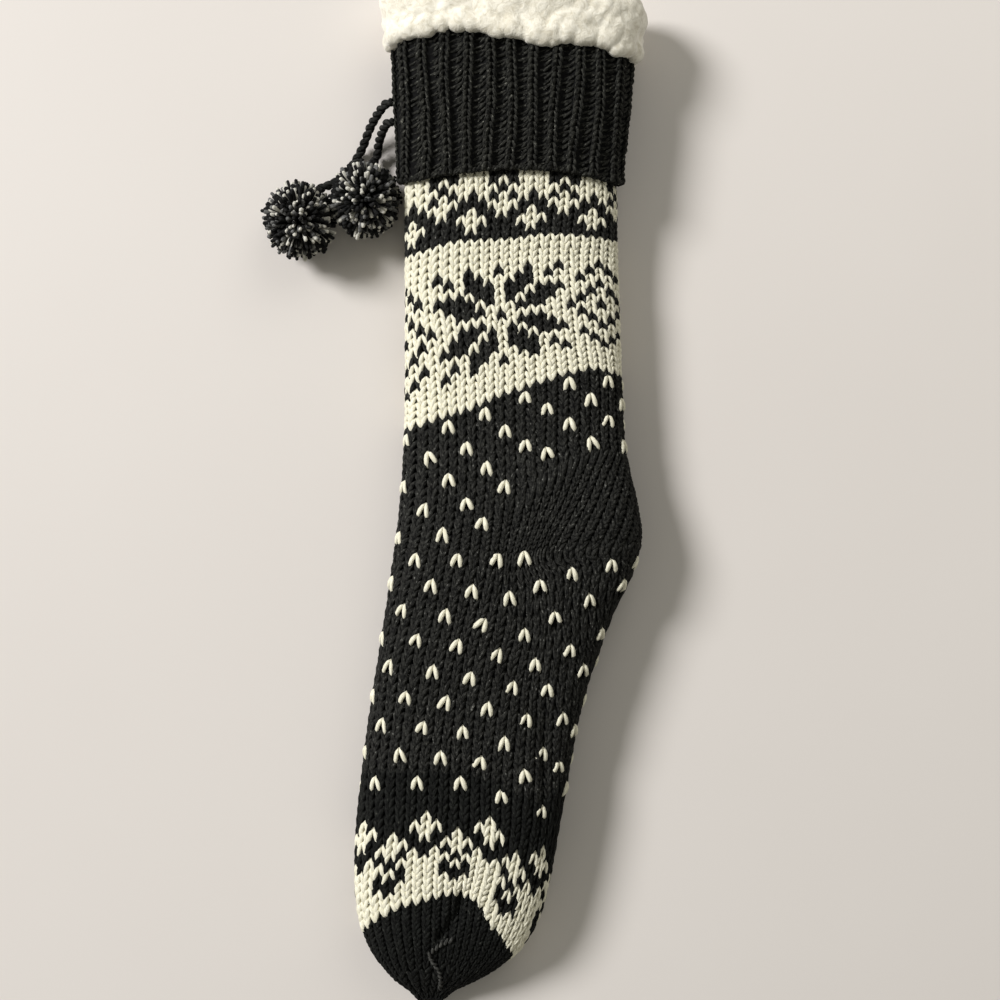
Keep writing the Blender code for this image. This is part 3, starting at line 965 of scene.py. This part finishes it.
STITCH_KNOTS = np.array([0.0, 0.20, 0.45, 0.72, 1.0])
STITCH_OUT = np.array([0.06, 0.19, 0.33, 0.45, 0.50])
STITCH_WIDTH = np.array([0.50, 0.90, 1.0, 0.95, 0.50])
STITCH_RISE = np.array([-1.0, 0.05, 0.30, 0.05, -1.2]) * MM
STITCH_LENGTH = 1.85
# Stitches under the sock, between these places around it, have fewer knots
UNDER_KNOTS = np.array([0.0, 0.25, 0.65, 1.0])
UNDER_SIDE = (1.15, 2.85)
# Charcoal stitches from this row on are a piece of their own, in a darker yarn that is painted shade of the toe
TOE_PIECE_ROW = 60

# A single cream stitch keeps its size where the knit is drawn together
LICE_WALE = 4.8 * MM
LICE_HEIGHT = 7.5 * MM
LICE_LIFT = 0.55 * MM


def wedge_steps(wale):
    """Rows of one wale inside the heel, as row numbers and how much of a row each one spans."""
    top, low = KNIT.point(np.array([wale, wale]), np.array([HEEL_TOP_ROW, HEEL_LOW_ROW]))
    gap = np.linalg.norm(top - low)
    count = max(3, int(round(gap / HEEL_ROW_HEIGHT)))
    span = (HEEL_LOW_ROW - HEEL_TOP_ROW) / count
    return [(HEEL_TOP_ROW + span * k, span) for k in range(count)]


def all_stitches():
    """Every stitch as (wale, row, rows spanned, wales spanned, cream, single).

    The heel's rows end at its wedge, and the toe cap has tighter rows without a pattern.
    """
    found = []
    for column in range(WALES):
        wale = column - 10
        for row in range(FIRST_ROW, TOE_CAP_ROW):
            if HEEL_TOP_ROW <= row < HEEL_LOW_ROW:
                continue
            cream = is_cream(wale, row)
            single = cream and LICE_ROW <= row < TOE_PEAK_ROW
            found.append((wale, row, 1.0, 1, cream, single))
        for row in np.arange(TOE_CAP_ROW, LAST_ROW - 0.1, TOE_CAP_SPAN):
            wide = 2 if row >= NARROW_ROW else 1
            if wale % wide == 0:
                found.append((wale + (wide - 1) / 2, row, TOE_CAP_SPAN, wide, False, False))
        for k, (row, span) in enumerate(wedge_steps(wale)):
            cream = k == 0 and is_cream(wale, HEEL_TOP_ROW)
            found.append((wale, row, span, 1, cream, cream))
    return np.array(found, float)


def stitch_tubes(stitches, knots, sides):
    """Two plump legs for each stitch, pointing up at their join and tucked under below."""
    wales, rows, spans, wides = (stitches[:, k] for k in range(4))
    count = len(stitches)
    middle = rows + 0.8 * spans
    across = KNIT.point(wales + 0.5 * wides, middle) - KNIT.point(wales - 0.5 * wides, middle)
    # In the heel and at the toe the knit shears, so the legs spread square to the wale there
    down = unit(KNIT.point(wales, middle + 0.5 * spans) - KNIT.point(wales, middle - 0.5 * spans))
    square = ((spans < 1) | (rows >= TOE_CAP_ROW))[:, None]
    across = np.where(square, across - down * (across * down).sum(1, keepdims=True), across)
    pitch = np.linalg.norm(across, axis=1)
    fit = np.clip(pitch / WALE_PITCH, 0.15, 1.25)
    # The last row of the heel reaches under the first whole row of the foot
    heel_end = (rows < HEEL_LOW_ROW) & (spans < 1) & (rows + spans > HEEL_LOW_ROW - 0.01)
    lengths = np.where(heel_end, spans + 0.85, STITCH_LENGTH * spans)
    wales = wales + RANDOM.normal(0, 0.025, count)
    rows = rows + RANDOM.normal(0, 0.04, count) * spans
    lift = RANDOM.normal(0, 0.10 * MM, count)
    out = np.interp(knots, STITCH_KNOTS, STITCH_OUT)
    width = np.interp(knots, STITCH_KNOTS, STITCH_WIDTH)
    rise = np.interp(knots, STITCH_KNOTS, STITCH_RISE)
    parts = []
    for side in (-1, 1):
        lean = RANDOM.normal(1, 0.05, count)
        size = fit * RANDOM.normal(1, 0.05, count)
        away = side * out * lean[:, None]
        wale = wales[:, None] + np.where(square, 0, away * wides[:, None])
        row = rows[:, None] + knots * lengths[:, None]
        row = np.minimum(row, LAST_ROW - 0.02)
        height = rise - YARN_SINK + lift[:, None]
        lines = KNIT.point(wale, row, height)
        lines = lines + np.where(square[:, None], across[:, None] * away[..., None], 0)
        normals = KNIT.normal(wale, row)
        widths = YARN_HALF_WIDTH * width * size[:, None]
        flat = np.where(rows >= TOE_CAP_ROW, 0.75, 1.0)
        heights = YARN_HALF_HEIGHT * width * (np.clip(size, 0.4, 1.1) * flat)[:, None]
        parts.append(tubes(lines, normals, widths, heights, sides))
    return joined(parts)


def single_tubes(stitches):
    """Single cream stitches: each keeps its size and its two even legs, however the knit shears."""
    wales, rows = stitches[:, 0], stitches[:, 1]
    count = len(stitches)
    top = KNIT.point(wales, rows - 0.2)
    down = unit(KNIT.point(wales, rows + 1.2) - top)
    out = KNIT.normal(wales, rows + 0.5)
    across = unit(np.cross(out, down))
    down = np.cross(across, out)
    turn = RANDOM.normal(0, 0.10, (count, 1))
    swung = down * np.cos(turn) + across * np.sin(turn)
    across = across * np.cos(turn) - down * np.sin(turn)
    down = swung
    high = LICE_HEIGHT * RANDOM.normal(1, 0.06, (count, 1))
    parts = []
    for side in (-1, 1):
        lean = LICE_WALE * side * RANDOM.normal(1, 0.07, (count, 1))
        size = RANDOM.normal(1, 0.05, (count, 1))
        flat = top[:, None] + down[:, None] * (STITCH_KNOTS * high)[..., None]
        flat = flat + across[:, None] * (STITCH_OUT * lean)[..., None]
        height = STITCH_RISE - YARN_SINK + LICE_LIFT + RANDOM.normal(0, 0.08 * MM, (count, 1))
        lines = flat + out[:, None] * height[..., None]
        normals = np.broadcast_to(out[:, None], lines.shape)
        width = STITCH_WIDTH * size * 1.08
        parts.append(tubes(lines, normals, YARN_HALF_WIDTH * width, YARN_HALF_HEIGHT * width, 6))
    return joined(parts)


def add_stitches():
    stitches = all_stitches()
    single = stitches[:, 5] > 0.5
    cream = stitches[:, 4] > 0.5
    leg = stitches[:, 1] < HEEL_LOW_ROW
    toe = stitches[:, 1] >= TOE_PIECE_ROW
    places = KNIT.mixed(KNIT.places[..., None], stitches[:, 0], stitches[:, 1])[..., 0]
    under = (places > UNDER_SIDE[0]) & (places < UNDER_SIDE[1])
    groups = (
        ("leg_stitches", ~cream & leg, CHARCOAL),
        ("foot_stitches", ~cream & ~leg & ~toe, CHARCOAL),
        # The toe's stitches take the darker yarn as painted shade
        ("toe_stitches", ~cream & toe, TOE_SHADE_YARN),
        ("cream_stitches", cream, CREAM),
    )
    for name, chosen, made_of in groups:
        parts = [
            stitch_tubes(stitches[chosen & ~single & ~under], STITCH_KNOTS, 6),
            stitch_tubes(stitches[chosen & ~single & under], UNDER_KNOTS, 5),
        ]
        if (chosen & single).any():
            parts.append(single_tubes(stitches[chosen & single]))
        points, faces, yarn = joined(parts)
        piece = add_piece(name, points, faces, [made_of], yarn=yarn)
        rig.replaces(piece, "sock_body")
        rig.slot(piece, "charcoal_knit")


# The lining's sections start this far over the body's tip. Its nubs are of this size and rise.
LINING_END = 14 * MM
LINING_NUB = 5.5 * MM
LINING_RISE = 1.3 * MM


def cream_behind(wale, row):
    """Whether the wall is cream behind the stitches here. Single stitches have it charcoal."""
    row = int(np.floor(row))
    single = LICE_ROW <= row < TOE_PEAK_ROW
    return row >= FIRST_ROW and not single and is_cream(int(np.floor(wale + 0.5)), row)


def add_wall():
    """The knitted wall behind the stitches, in yarns darkened as painted shade, with the fleece lining as its inner
    face.
    """
    wales = np.arange(WALES * 2) / 2 + FRONT_WALE
    rows = np.concatenate([[FIRST_ROW - 1.5], np.arange(FIRST_ROW, LAST_ROW - 0.4, 0.5)])
    grid_wales, grid_rows = np.meshgrid(wales, rows)
    outer = KNIT.point(grid_wales, grid_rows, -YARN_SINK - BACKING_SINK)
    lining_low = BODY_LOW[1] + LINING_END
    inner = Sections("sock_body", lining_low, BODY_END, inner=True)
    places = KNIT.mixed(KNIT.places[..., None], grid_wales, grid_rows)[..., 0]
    heights = np.clip(outer[..., 1], lining_low + 1 * MM, None)
    lining = inner.point(places, heights)
    towards = -inner.normal(places, heights)
    nubs = nub_heights(lining, LINING_NUB) * LINING_RISE
    pressed = crease_depth(outer, places)
    lining = lining + towards * (0.2 * MM + nubs + pressed)[..., None]
    outer[..., 2] = np.maximum(outer[..., 2], FLOOR_GAP)
    points = np.concatenate([outer.reshape(-1, 3), lining.reshape(-1, 3)])

    count = len(wales)
    rings = np.arange(len(rows) - 1) * count
    last = (len(rows) - 1) * count
    base = len(rows) * count
    quads = [band(ring, ring + count, count) for ring in rings]
    quads += [turned(band(base + ring, base + ring + count, count)) for ring in rings]
    quads.append(turned(band(0, base, count)))
    tips = np.stack([points[last:base].mean(0), points[base + last:].mean(0)])
    tip = np.full(count, len(points))
    a = np.arange(count)
    b = (a + 1) % count
    fans = [
        np.stack([last + b, last + a, tip], axis=1),
        np.stack([base + last + a, base + last + b, tip + 1], axis=1),
    ]
    # The wall is near-black behind charcoal and darkened cream behind cream: painted shade in the gaps between the
    # stitches
    kinds = [int(cream_behind(wale, row)) for row in rows[:-1] for wale in wales]
    kinds += [2] * base + [0] * count + [2] * count
    wall = add_piece("knit_wall", np.concatenate([points, tips]),
                     [np.concatenate(quads), np.concatenate(fans)],
                     [WALL_SHADE_YARN, CREAM_WALL_SHADE, FLEECE], kinds)
    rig.replaces(wall, "sock_body")
    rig.slot(wall, "charcoal_knit")


def hashed(cells, seed):
    """Repeatable numbers from 0 to 1 for whole-number cells (n, 3)."""
    mixed = np.sin(cells @ np.array([127.1, 311.7, 74.7]) + seed * 53.3) * 43758.5453
    return mixed - np.floor(mixed)


def nub_heights(points, size):
    """Height, 0 to 1, of round nubs of about the given size, scattered over the points."""
    shape = points.shape[:-1]
    scaled = points.reshape(-1, 3) / size
    cell = np.floor(scaled)
    nearest = np.full(len(scaled), 9.0)
    for dx in (-1, 0, 1):
        for dy in (-1, 0, 1):
            for dz in (-1, 0, 1):
                other = cell + (dx, dy, dz)
                jitter = np.stack([hashed(other, k) for k in (1, 2, 3)], axis=1)
                away = np.linalg.norm(other + jitter - scaled, axis=1)
                nearest = np.minimum(nearest, away)
    return np.sqrt(np.clip(1 - nearest**2, 0, 1)).reshape(shape)


add_stitches()
add_wall()


# Ribbed cuff

CUFF_RIBS = 24
RIB_PHASE = -0.03
CUFF_OFFSET = 4.1 * MM
CUFF_ROW = 2.75 * MM
CUFF_COLUMNS = 192
HEM_ACROSS = (-1, -0.55, 0, 0.6, 1)
HEM_HEIGHTS = (169.9, 174.0, 176.6, 174.3, 169.0)
HEM_LOOPS = 132


def unseen(heights, z):
    """Y of things at the height z that the camera sees at these heights over the heel line."""
    seen = HEEL_LINE + heights * MM
    return VIEW_CENTRE[1] + (seen - VIEW_CENTRE[1]) / nearer(z)


def cuff_height(place, share):
    """Y on the cuff, from its hem (share 0) to the mouth (share 1)."""
    level = np.full(np.shape(place), CUFF_LOW[1] + 4 * MM)
    across = BODY.across(place, level)
    z = BODY.xz(place, level)[..., 1] + CUFF_OFFSET
    hem = unseen(hermite(across, HEM_ACROSS, HEM_HEIGHTS), z)
    slant = (CUFF_HIGH[1] - BODY_HIGH[1]) / 2
    mouth = BODY_HIGH[1] - 3.5 * MM - 3.6 * MM * across + slant
    return hem + (mouth - hem) * share


def over_body(place, y, height):
    out = BODY.normal(place, y)
    return BODY.point(place, y) + out * np.asarray(height)[..., None], out


def cuff_point(place, share, height):
    return over_body(place, cuff_height(place, share), height)


def add_cuff():
    """1x1 rib: raised columns of stitches with ladders of slanted strands between them."""
    length = BODY_HIGH[1] - (HEEL_LINE + HEM_HEIGHTS[2] * MM)
    rows = int(length / CUFF_ROW)
    rib = 4 / CUFF_RIBS
    place_of_rib = -1 + rib * (np.arange(CUFF_RIBS) + RIB_PHASE)
    ribs, steps = np.meshgrid(place_of_rib, np.arange(rows), indexing="ij")
    ribs = ribs.ravel()
    steps = steps.ravel()
    phase = ribs * 9.0
    wander = 0.07 * rib * np.sin(steps * 0.23 + phase) + RANDOM.normal(0, 0.012 * rib, len(ribs))
    outside = CUFF_OFFSET - 0.75 * MM
    knots = np.array([0.0, 0.2, 0.5, 0.8, 1.0])
    parts = []
    for side, size in ((-1, 1.10 * MM), (1, 0.82 * MM)):
        out = np.array([0.01, 0.08, 0.14, 0.17, 0.14]) * side
        place = (ribs + wander)[:, None] + out * rib
        share = np.clip((steps[:, None] + 1.35 - 1.45 * knots) / rows, 0, 1)
        rise = np.array([-1.3, 0.0, 0.35, -0.05, -1.3]) * MM
        height = outside + rise + RANDOM.normal(0, 0.15 * MM, (len(ribs), 1))
        lines, normals = cuff_point(place, share, height)
        width = np.array([0.5, 0.9, 1.0, 0.9, 0.5]) * size
        thick = RANDOM.normal(1, 0.08, (len(ribs), 1))
        parts.append(tubes(lines, normals, width * thick, width * thick * 0.9, 6))
    # The ladder between the columns: long strands, and short steep ones by the next column
    knots = np.array([0.0, 0.33, 0.67, 1.0])
    ladders = (
        ((0.20, 0.80), (-0.30, 0.45), (-1.6, -2.3, -2.2, -1.5), 0.80 * MM),
        ((0.52, 0.86), (-0.45, 0.60), (-2.1, -1.7, -1.4, -1.2), 0.85 * MM),
    )
    for ends, slants, rise, size in ladders:
        place = (ribs + wander)[:, None] + (ends[0] + (ends[1] - ends[0]) * knots) * rib
        slant = slants[0] + (slants[1] - slants[0]) * knots + RANDOM.normal(0, 0.12, (len(ribs), 1))
        share = np.clip((steps[:, None] + 0.8 + slant) / rows, 0, 1)
        height = outside + np.array(rise) * MM + RANDOM.normal(0, 0.2 * MM, (len(ribs), 1))
        lines, normals = cuff_point(place, share, height)
        width = np.array([0.7, 1.0, 1.0, 0.7]) * size
        parts.append(tubes(lines, normals, width, width * 0.9, 5))
    points, faces, yarn = joined(parts)
    cuff = add_piece("rib_stitches", points, faces, [RIB_YARN], yarn=yarn)
    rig.replaces(cuff, "ribbed_cuff")
    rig.slot(cuff, "charcoal_rib")
    add_cuff_wall(rows)
    add_hem()


def add_cuff_wall(rows):
    """Closed sleeve behind the rib's stitches, in near-black yarn that paints the shade of the rib's recesses."""
    count = CUFF_COLUMNS
    place = -1 + 4 * np.arange(count) / count
    places, levels = np.meshgrid(place, np.linspace(0, 1, rows + 1))
    under_rib = 0.5 + 0.5 * np.cos(2 * pi * ((places + 1) * CUFF_RIBS / 4 - RIB_PHASE))
    outer, _ = cuff_point(places, levels, CUFF_OFFSET - 3.0 * MM + under_rib**1.5 * 1.9 * MM)
    inner, _ = cuff_point(places, levels, 0.25 * MM)
    points = np.concatenate([outer.reshape(-1, 3), inner.reshape(-1, 3)])
    points[:, 2] = np.maximum(points[:, 2], FLOOR_GAP)
    last = rows * count
    base = last + count
    faces = []
    for ring in np.arange(rows) * count:
        faces.append(turned(band(ring, ring + count, count)))
        faces.append(band(base + ring, base + ring + count, count))
    faces.append(np.roll(band(0, base, count), 1, axis=1))
    faces.append(turned(band(last, base + last, count)))
    # Near-black yarn here is painted shade of the recesses between the ribs
    wall = add_piece("rib_wall", points, [np.concatenate(faces)], [WALL_SHADE_YARN])
    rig.replaces(wall, "ribbed_cuff")
    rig.slot(wall, "charcoal_rib")


def add_hem():
    """Cast-off edge of the rib: a row of small slanted loops around the cuff's lower edge."""
    knots = np.linspace(0, 1, 5)
    start = -1 + 4 * np.arange(HEM_LOOPS) / HEM_LOOPS
    step = 4 / HEM_LOOPS
    place = start[:, None] + (knots * 1.6 - 0.3) * step
    share = (knots - 0.5) * 0.030 + 0.012 + RANDOM.normal(0, 0.003, (HEM_LOOPS, 1))
    rise = np.array([-1.6, -0.9, -0.7, -1.0, -1.8]) * MM
    height = CUFF_OFFSET - 0.7 * MM + rise + RANDOM.normal(0, 0.15 * MM, (HEM_LOOPS, 1))
    lines, normals = cuff_point(place, share, height)
    width = np.array([0.5, 0.95, 1.0, 0.95, 0.5]) * 0.95 * MM
    points, faces, yarn = tubes(lines, normals, width, width, 6)
    hem = add_piece("rib_hem", points, faces, [RIB_YARN], yarn=yarn)
    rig.replaces(hem, "ribbed_cuff")
    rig.slot(hem, "charcoal_rib")


add_cuff()


# Fleece collar

MOUTH_ACROSS = (-1, -0.62, -0.35, -0.15, 0.05, 0.29, 0.48, 0.78, 1)
MOUTH_HEIGHTS = (236.2, 243.9, 243.9, 241.4, 240.5, 236.6, 238.4, 235.0, 229.5)
LOBES = 56
LOBE_RINGS = 3
LOBE_STEP = 6.0 * MM
PILE_VOXEL = 1.15 * MM
# Nubs of the pile, large and small: size and rise
BIG_NUB = (13.0 * MM, 2.8 * MM)
SMALL_NUB = (5.0 * MM, 1.7 * MM)
# The pile grows to its full height between these two distances under the mouth
PILE_EDGE = (26 * MM, 16 * MM)


def lobe_spots():
    """Centres, outward ways and sizes of the lobes of pile that hang over the cuff's top."""
    place = -1 + 4 * (np.arange(LOBES) + RANDOM.uniform(-0.3, 0.3, LOBES)) / LOBES
    size = RANDOM.uniform(3.9, 5.6, LOBES) * MM
    level = np.full(LOBES, BODY_HIGH[1] - 10 * MM)
    z = BODY.xz(place, level)[..., 1] + CUFF_OFFSET + 2 * MM
    edge = unseen(hermite(BODY.across(place, level), MOUTH_ACROSS, MOUTH_HEIGHTS), z)
    for ring in range(LOBE_RINGS):
        y = edge + size * 0.9 + ring * LOBE_STEP + RANDOM.uniform(-1, 1, LOBES) * MM
        shifted = place + (ring % 2) * 2 / LOBES
        centres, ways = over_body(shifted, y, CUFF_OFFSET - 0.2 * MM)
        yield from zip(centres, ways, size)


def add_fleece():
    """The collar's own solid with lobes over the cuff's top, all covered with curly nubs."""
    shape = bmesh.new()
    shape.from_mesh(frame["nodes"]["fleece_collar"].data)
    for centre, way, size in lobe_spots():
        centre[2] = max(centre[2], size * 0.5)
        turn = Vector(way).to_track_quat("Z", "Y").to_matrix().to_4x4()
        flat = Matrix.Diagonal((1.05, 1.05, 0.72, 1.0))
        bmesh.ops.create_icosphere(shape, subdivisions=2, radius=size,
                                   matrix=Matrix.Translation(centre) @ turn @ flat)
    lumps = bpy.data.meshes.new("lumps")
    shape.to_mesh(lumps)
    shape.free()
    made = bpy.data.objects.new("fleece_rim", lumps)
    bpy.context.scene.collection.objects.link(made)
    remesh = made.modifiers.new("even", "REMESH")
    remesh.mode = "VOXEL"
    remesh.voxel_size = PILE_VOXEL
    relax = made.modifiers.new("relax", "SMOOTH")
    relax.factor = 0.5
    relax.iterations = 8
    bpy.context.view_layer.update()
    graph = bpy.context.evaluated_depsgraph_get()
    mesh = bpy.data.meshes.new_from_object(made.evaluated_get(graph))
    made.modifiers.clear()
    made.data = mesh
    points = np.empty(len(mesh.vertices) * 3, np.float32)
    mesh.vertices.foreach_get("co", points)
    points = points.reshape(-1, 3).astype(float)
    normals = np.array([v.normal[:] for v in mesh.vertices])
    warp = np.stack([np.sin(points[:, 1] * 410 + points[:, 2] * 230),
                     np.sin(points[:, 0] * 370 + points[:, 2] * 190),
                     np.sin(points[:, 0] * 290 + points[:, 1] * 330)], axis=1) * 1.4 * MM
    big = nub_heights(points + warp * 1.6, BIG_NUB[0])
    small = nub_heights(points - warp + 0.02, SMALL_NUB[0])
    lift = (big - 0.5) * BIG_NUB[1] + (small - 0.5) * SMALL_NUB[1]
    pile = smoothstep(BODY_HIGH[1] - PILE_EDGE[0], BODY_HIGH[1] - PILE_EDGE[1], points[:, 1])
    points = points + normals * (lift * (0.25 + 0.75 * pile))[:, None]
    points[:, 2] = np.maximum(points[:, 2], FLOOR_GAP)
    mesh.vertices.foreach_set("co", points.astype(np.float32).ravel())
    mesh.materials.clear()
    mesh.materials.append(FLEECE)
    mesh.update()
    mesh.shade_smooth()
    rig.ride(made, "root")
    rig.replaces(made, "fleece_collar")
    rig.slot(made, "cream_fleece")


add_fleece()


# Seam that closes the toe: a line of small stitches a little paler than the yarn

SEAM_LINE = ((-28.3, -189.6), (-33.0, -192.0), (-38.2, -197.0), (-36.5, -202.0), (-34.1, -206.5),
             (-33.4, -212.0), (-34.0, -217.0))
SEAM_STEP = 2.3 * MM


def upper_place(x, y):
    """The place on the upper side at the point (x, y)."""
    fine = np.linspace(-0.98, 0.98, 99)
    across = BODY.xz(fine, np.full(fine.shape, y))[..., 0]
    return float(np.interp(x, across, fine))


def add_toe_seam():
    """Short slanted stitches along the seam, pressed into the creases as the knit is."""
    corners = np.array([(SOCK_AXIS + x * MM, HEEL_LINE + y * MM, 0) for x, y in SEAM_LINE])
    path, _ = smooth_route(corners, SEAM_STEP)
    along = unit(np.gradient(path, axis=0))
    across = np.stack([-along[:, 1], along[:, 0], along[:, 0] * 0], axis=1)
    slant = unit(along * 0.9 + across * 0.6)
    knots = np.array([-0.5, -0.2, 0.2, 0.5])
    flat = path[:, None] + slant[:, None] * (knots * 3.4 * MM)[:, None]
    places = np.array([[upper_place(x, y) for x, y, _ in line] for line in flat])
    rise = np.array([-0.9, 0.0, 0.0, -0.9]) * MM
    lines, normals = over_body(places, flat[..., 1], rise + 0.35 * MM)
    lines = lines - normals * crease_depth(lines, places)[..., None]
    width = np.array([0.55, 1.0, 1.0, 0.55]) * 0.75 * MM
    points, faces, yarn = tubes(lines, normals, width, width * 0.9, 6)
    seam = add_piece("toe_seam", points, faces, [SEAM_YARN], yarn=yarn)
    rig.replaces(seam, "sock_body")
    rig.slot(seam, "charcoal_knit")


add_toe_seam()


# Floor and light

# Area lights: name, place, target, size, power and colour
LIGHTS = (
    ("window", (-2.55, 1.35, 2.25), (0, 0, 0), 1.2, 159, (1.0, 0.99, 0.99)),
    ("fill", (0.35, 0.75, 0.75), (0, 0.1, 0), 0.7, 2.0, (1.0, 0.98, 0.93)),
)
ROOM_COLOUR = (1.0, 0.985, 0.88, 1)
ROOM_STRENGTH = 0.245
FLOOR_DEEP = (0.66, 0.62, 0.585)
FLOOR_LIGHT = (0.72, 0.685, 0.65)


def add_floor():
    bpy.ops.mesh.primitive_plane_add(size=6, location=(0, 0, 0))
    floor = bpy.context.object
    floor.name = "floor"
    made, tree, shader = new_material("pale_floor", 0.75)
    clouds = noise(tree, object_place(tree), scale=3, detail=4)
    colour = colour_ramp(tree, clouds, [(0, FLOOR_DEEP), (1, FLOOR_LIGHT)])
    tree.links.new(colour, shader.inputs["Base Color"])
    floor.data.materials.append(made)
    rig.stage(floor)


def add_light(name, place, target, size, energy, colour):
    data = bpy.data.lights.new(name, "AREA")
    data.shape = "DISK"
    data.size = size
    data.energy = energy
    data.color = colour
    light = bpy.data.objects.new(name, data)
    light.location = place
    way = Vector(target) - Vector(place)
    light.rotation_euler = way.to_track_quat("-Z", "Y").to_euler()
    bpy.context.scene.collection.objects.link(light)


def add_lights():
    for light in LIGHTS:
        add_light(*light)
    world = bpy.data.worlds.new("room")
    world.use_nodes = True
    background = world.node_tree.nodes["Background"]
    background.inputs["Color"].default_value = ROOM_COLOUR
    background.inputs["Strength"].default_value = ROOM_STRENGTH
    bpy.context.scene.world = world
    bpy.context.scene.view_settings.view_transform = "Standard"


add_floor()
add_lights()

sizes = {"cad": [list(corner) for corner in CAD_BOX], "visual": [list(c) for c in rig.bounds()]}
with open("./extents.json", "w") as out:
    json.dump(sizes, out)
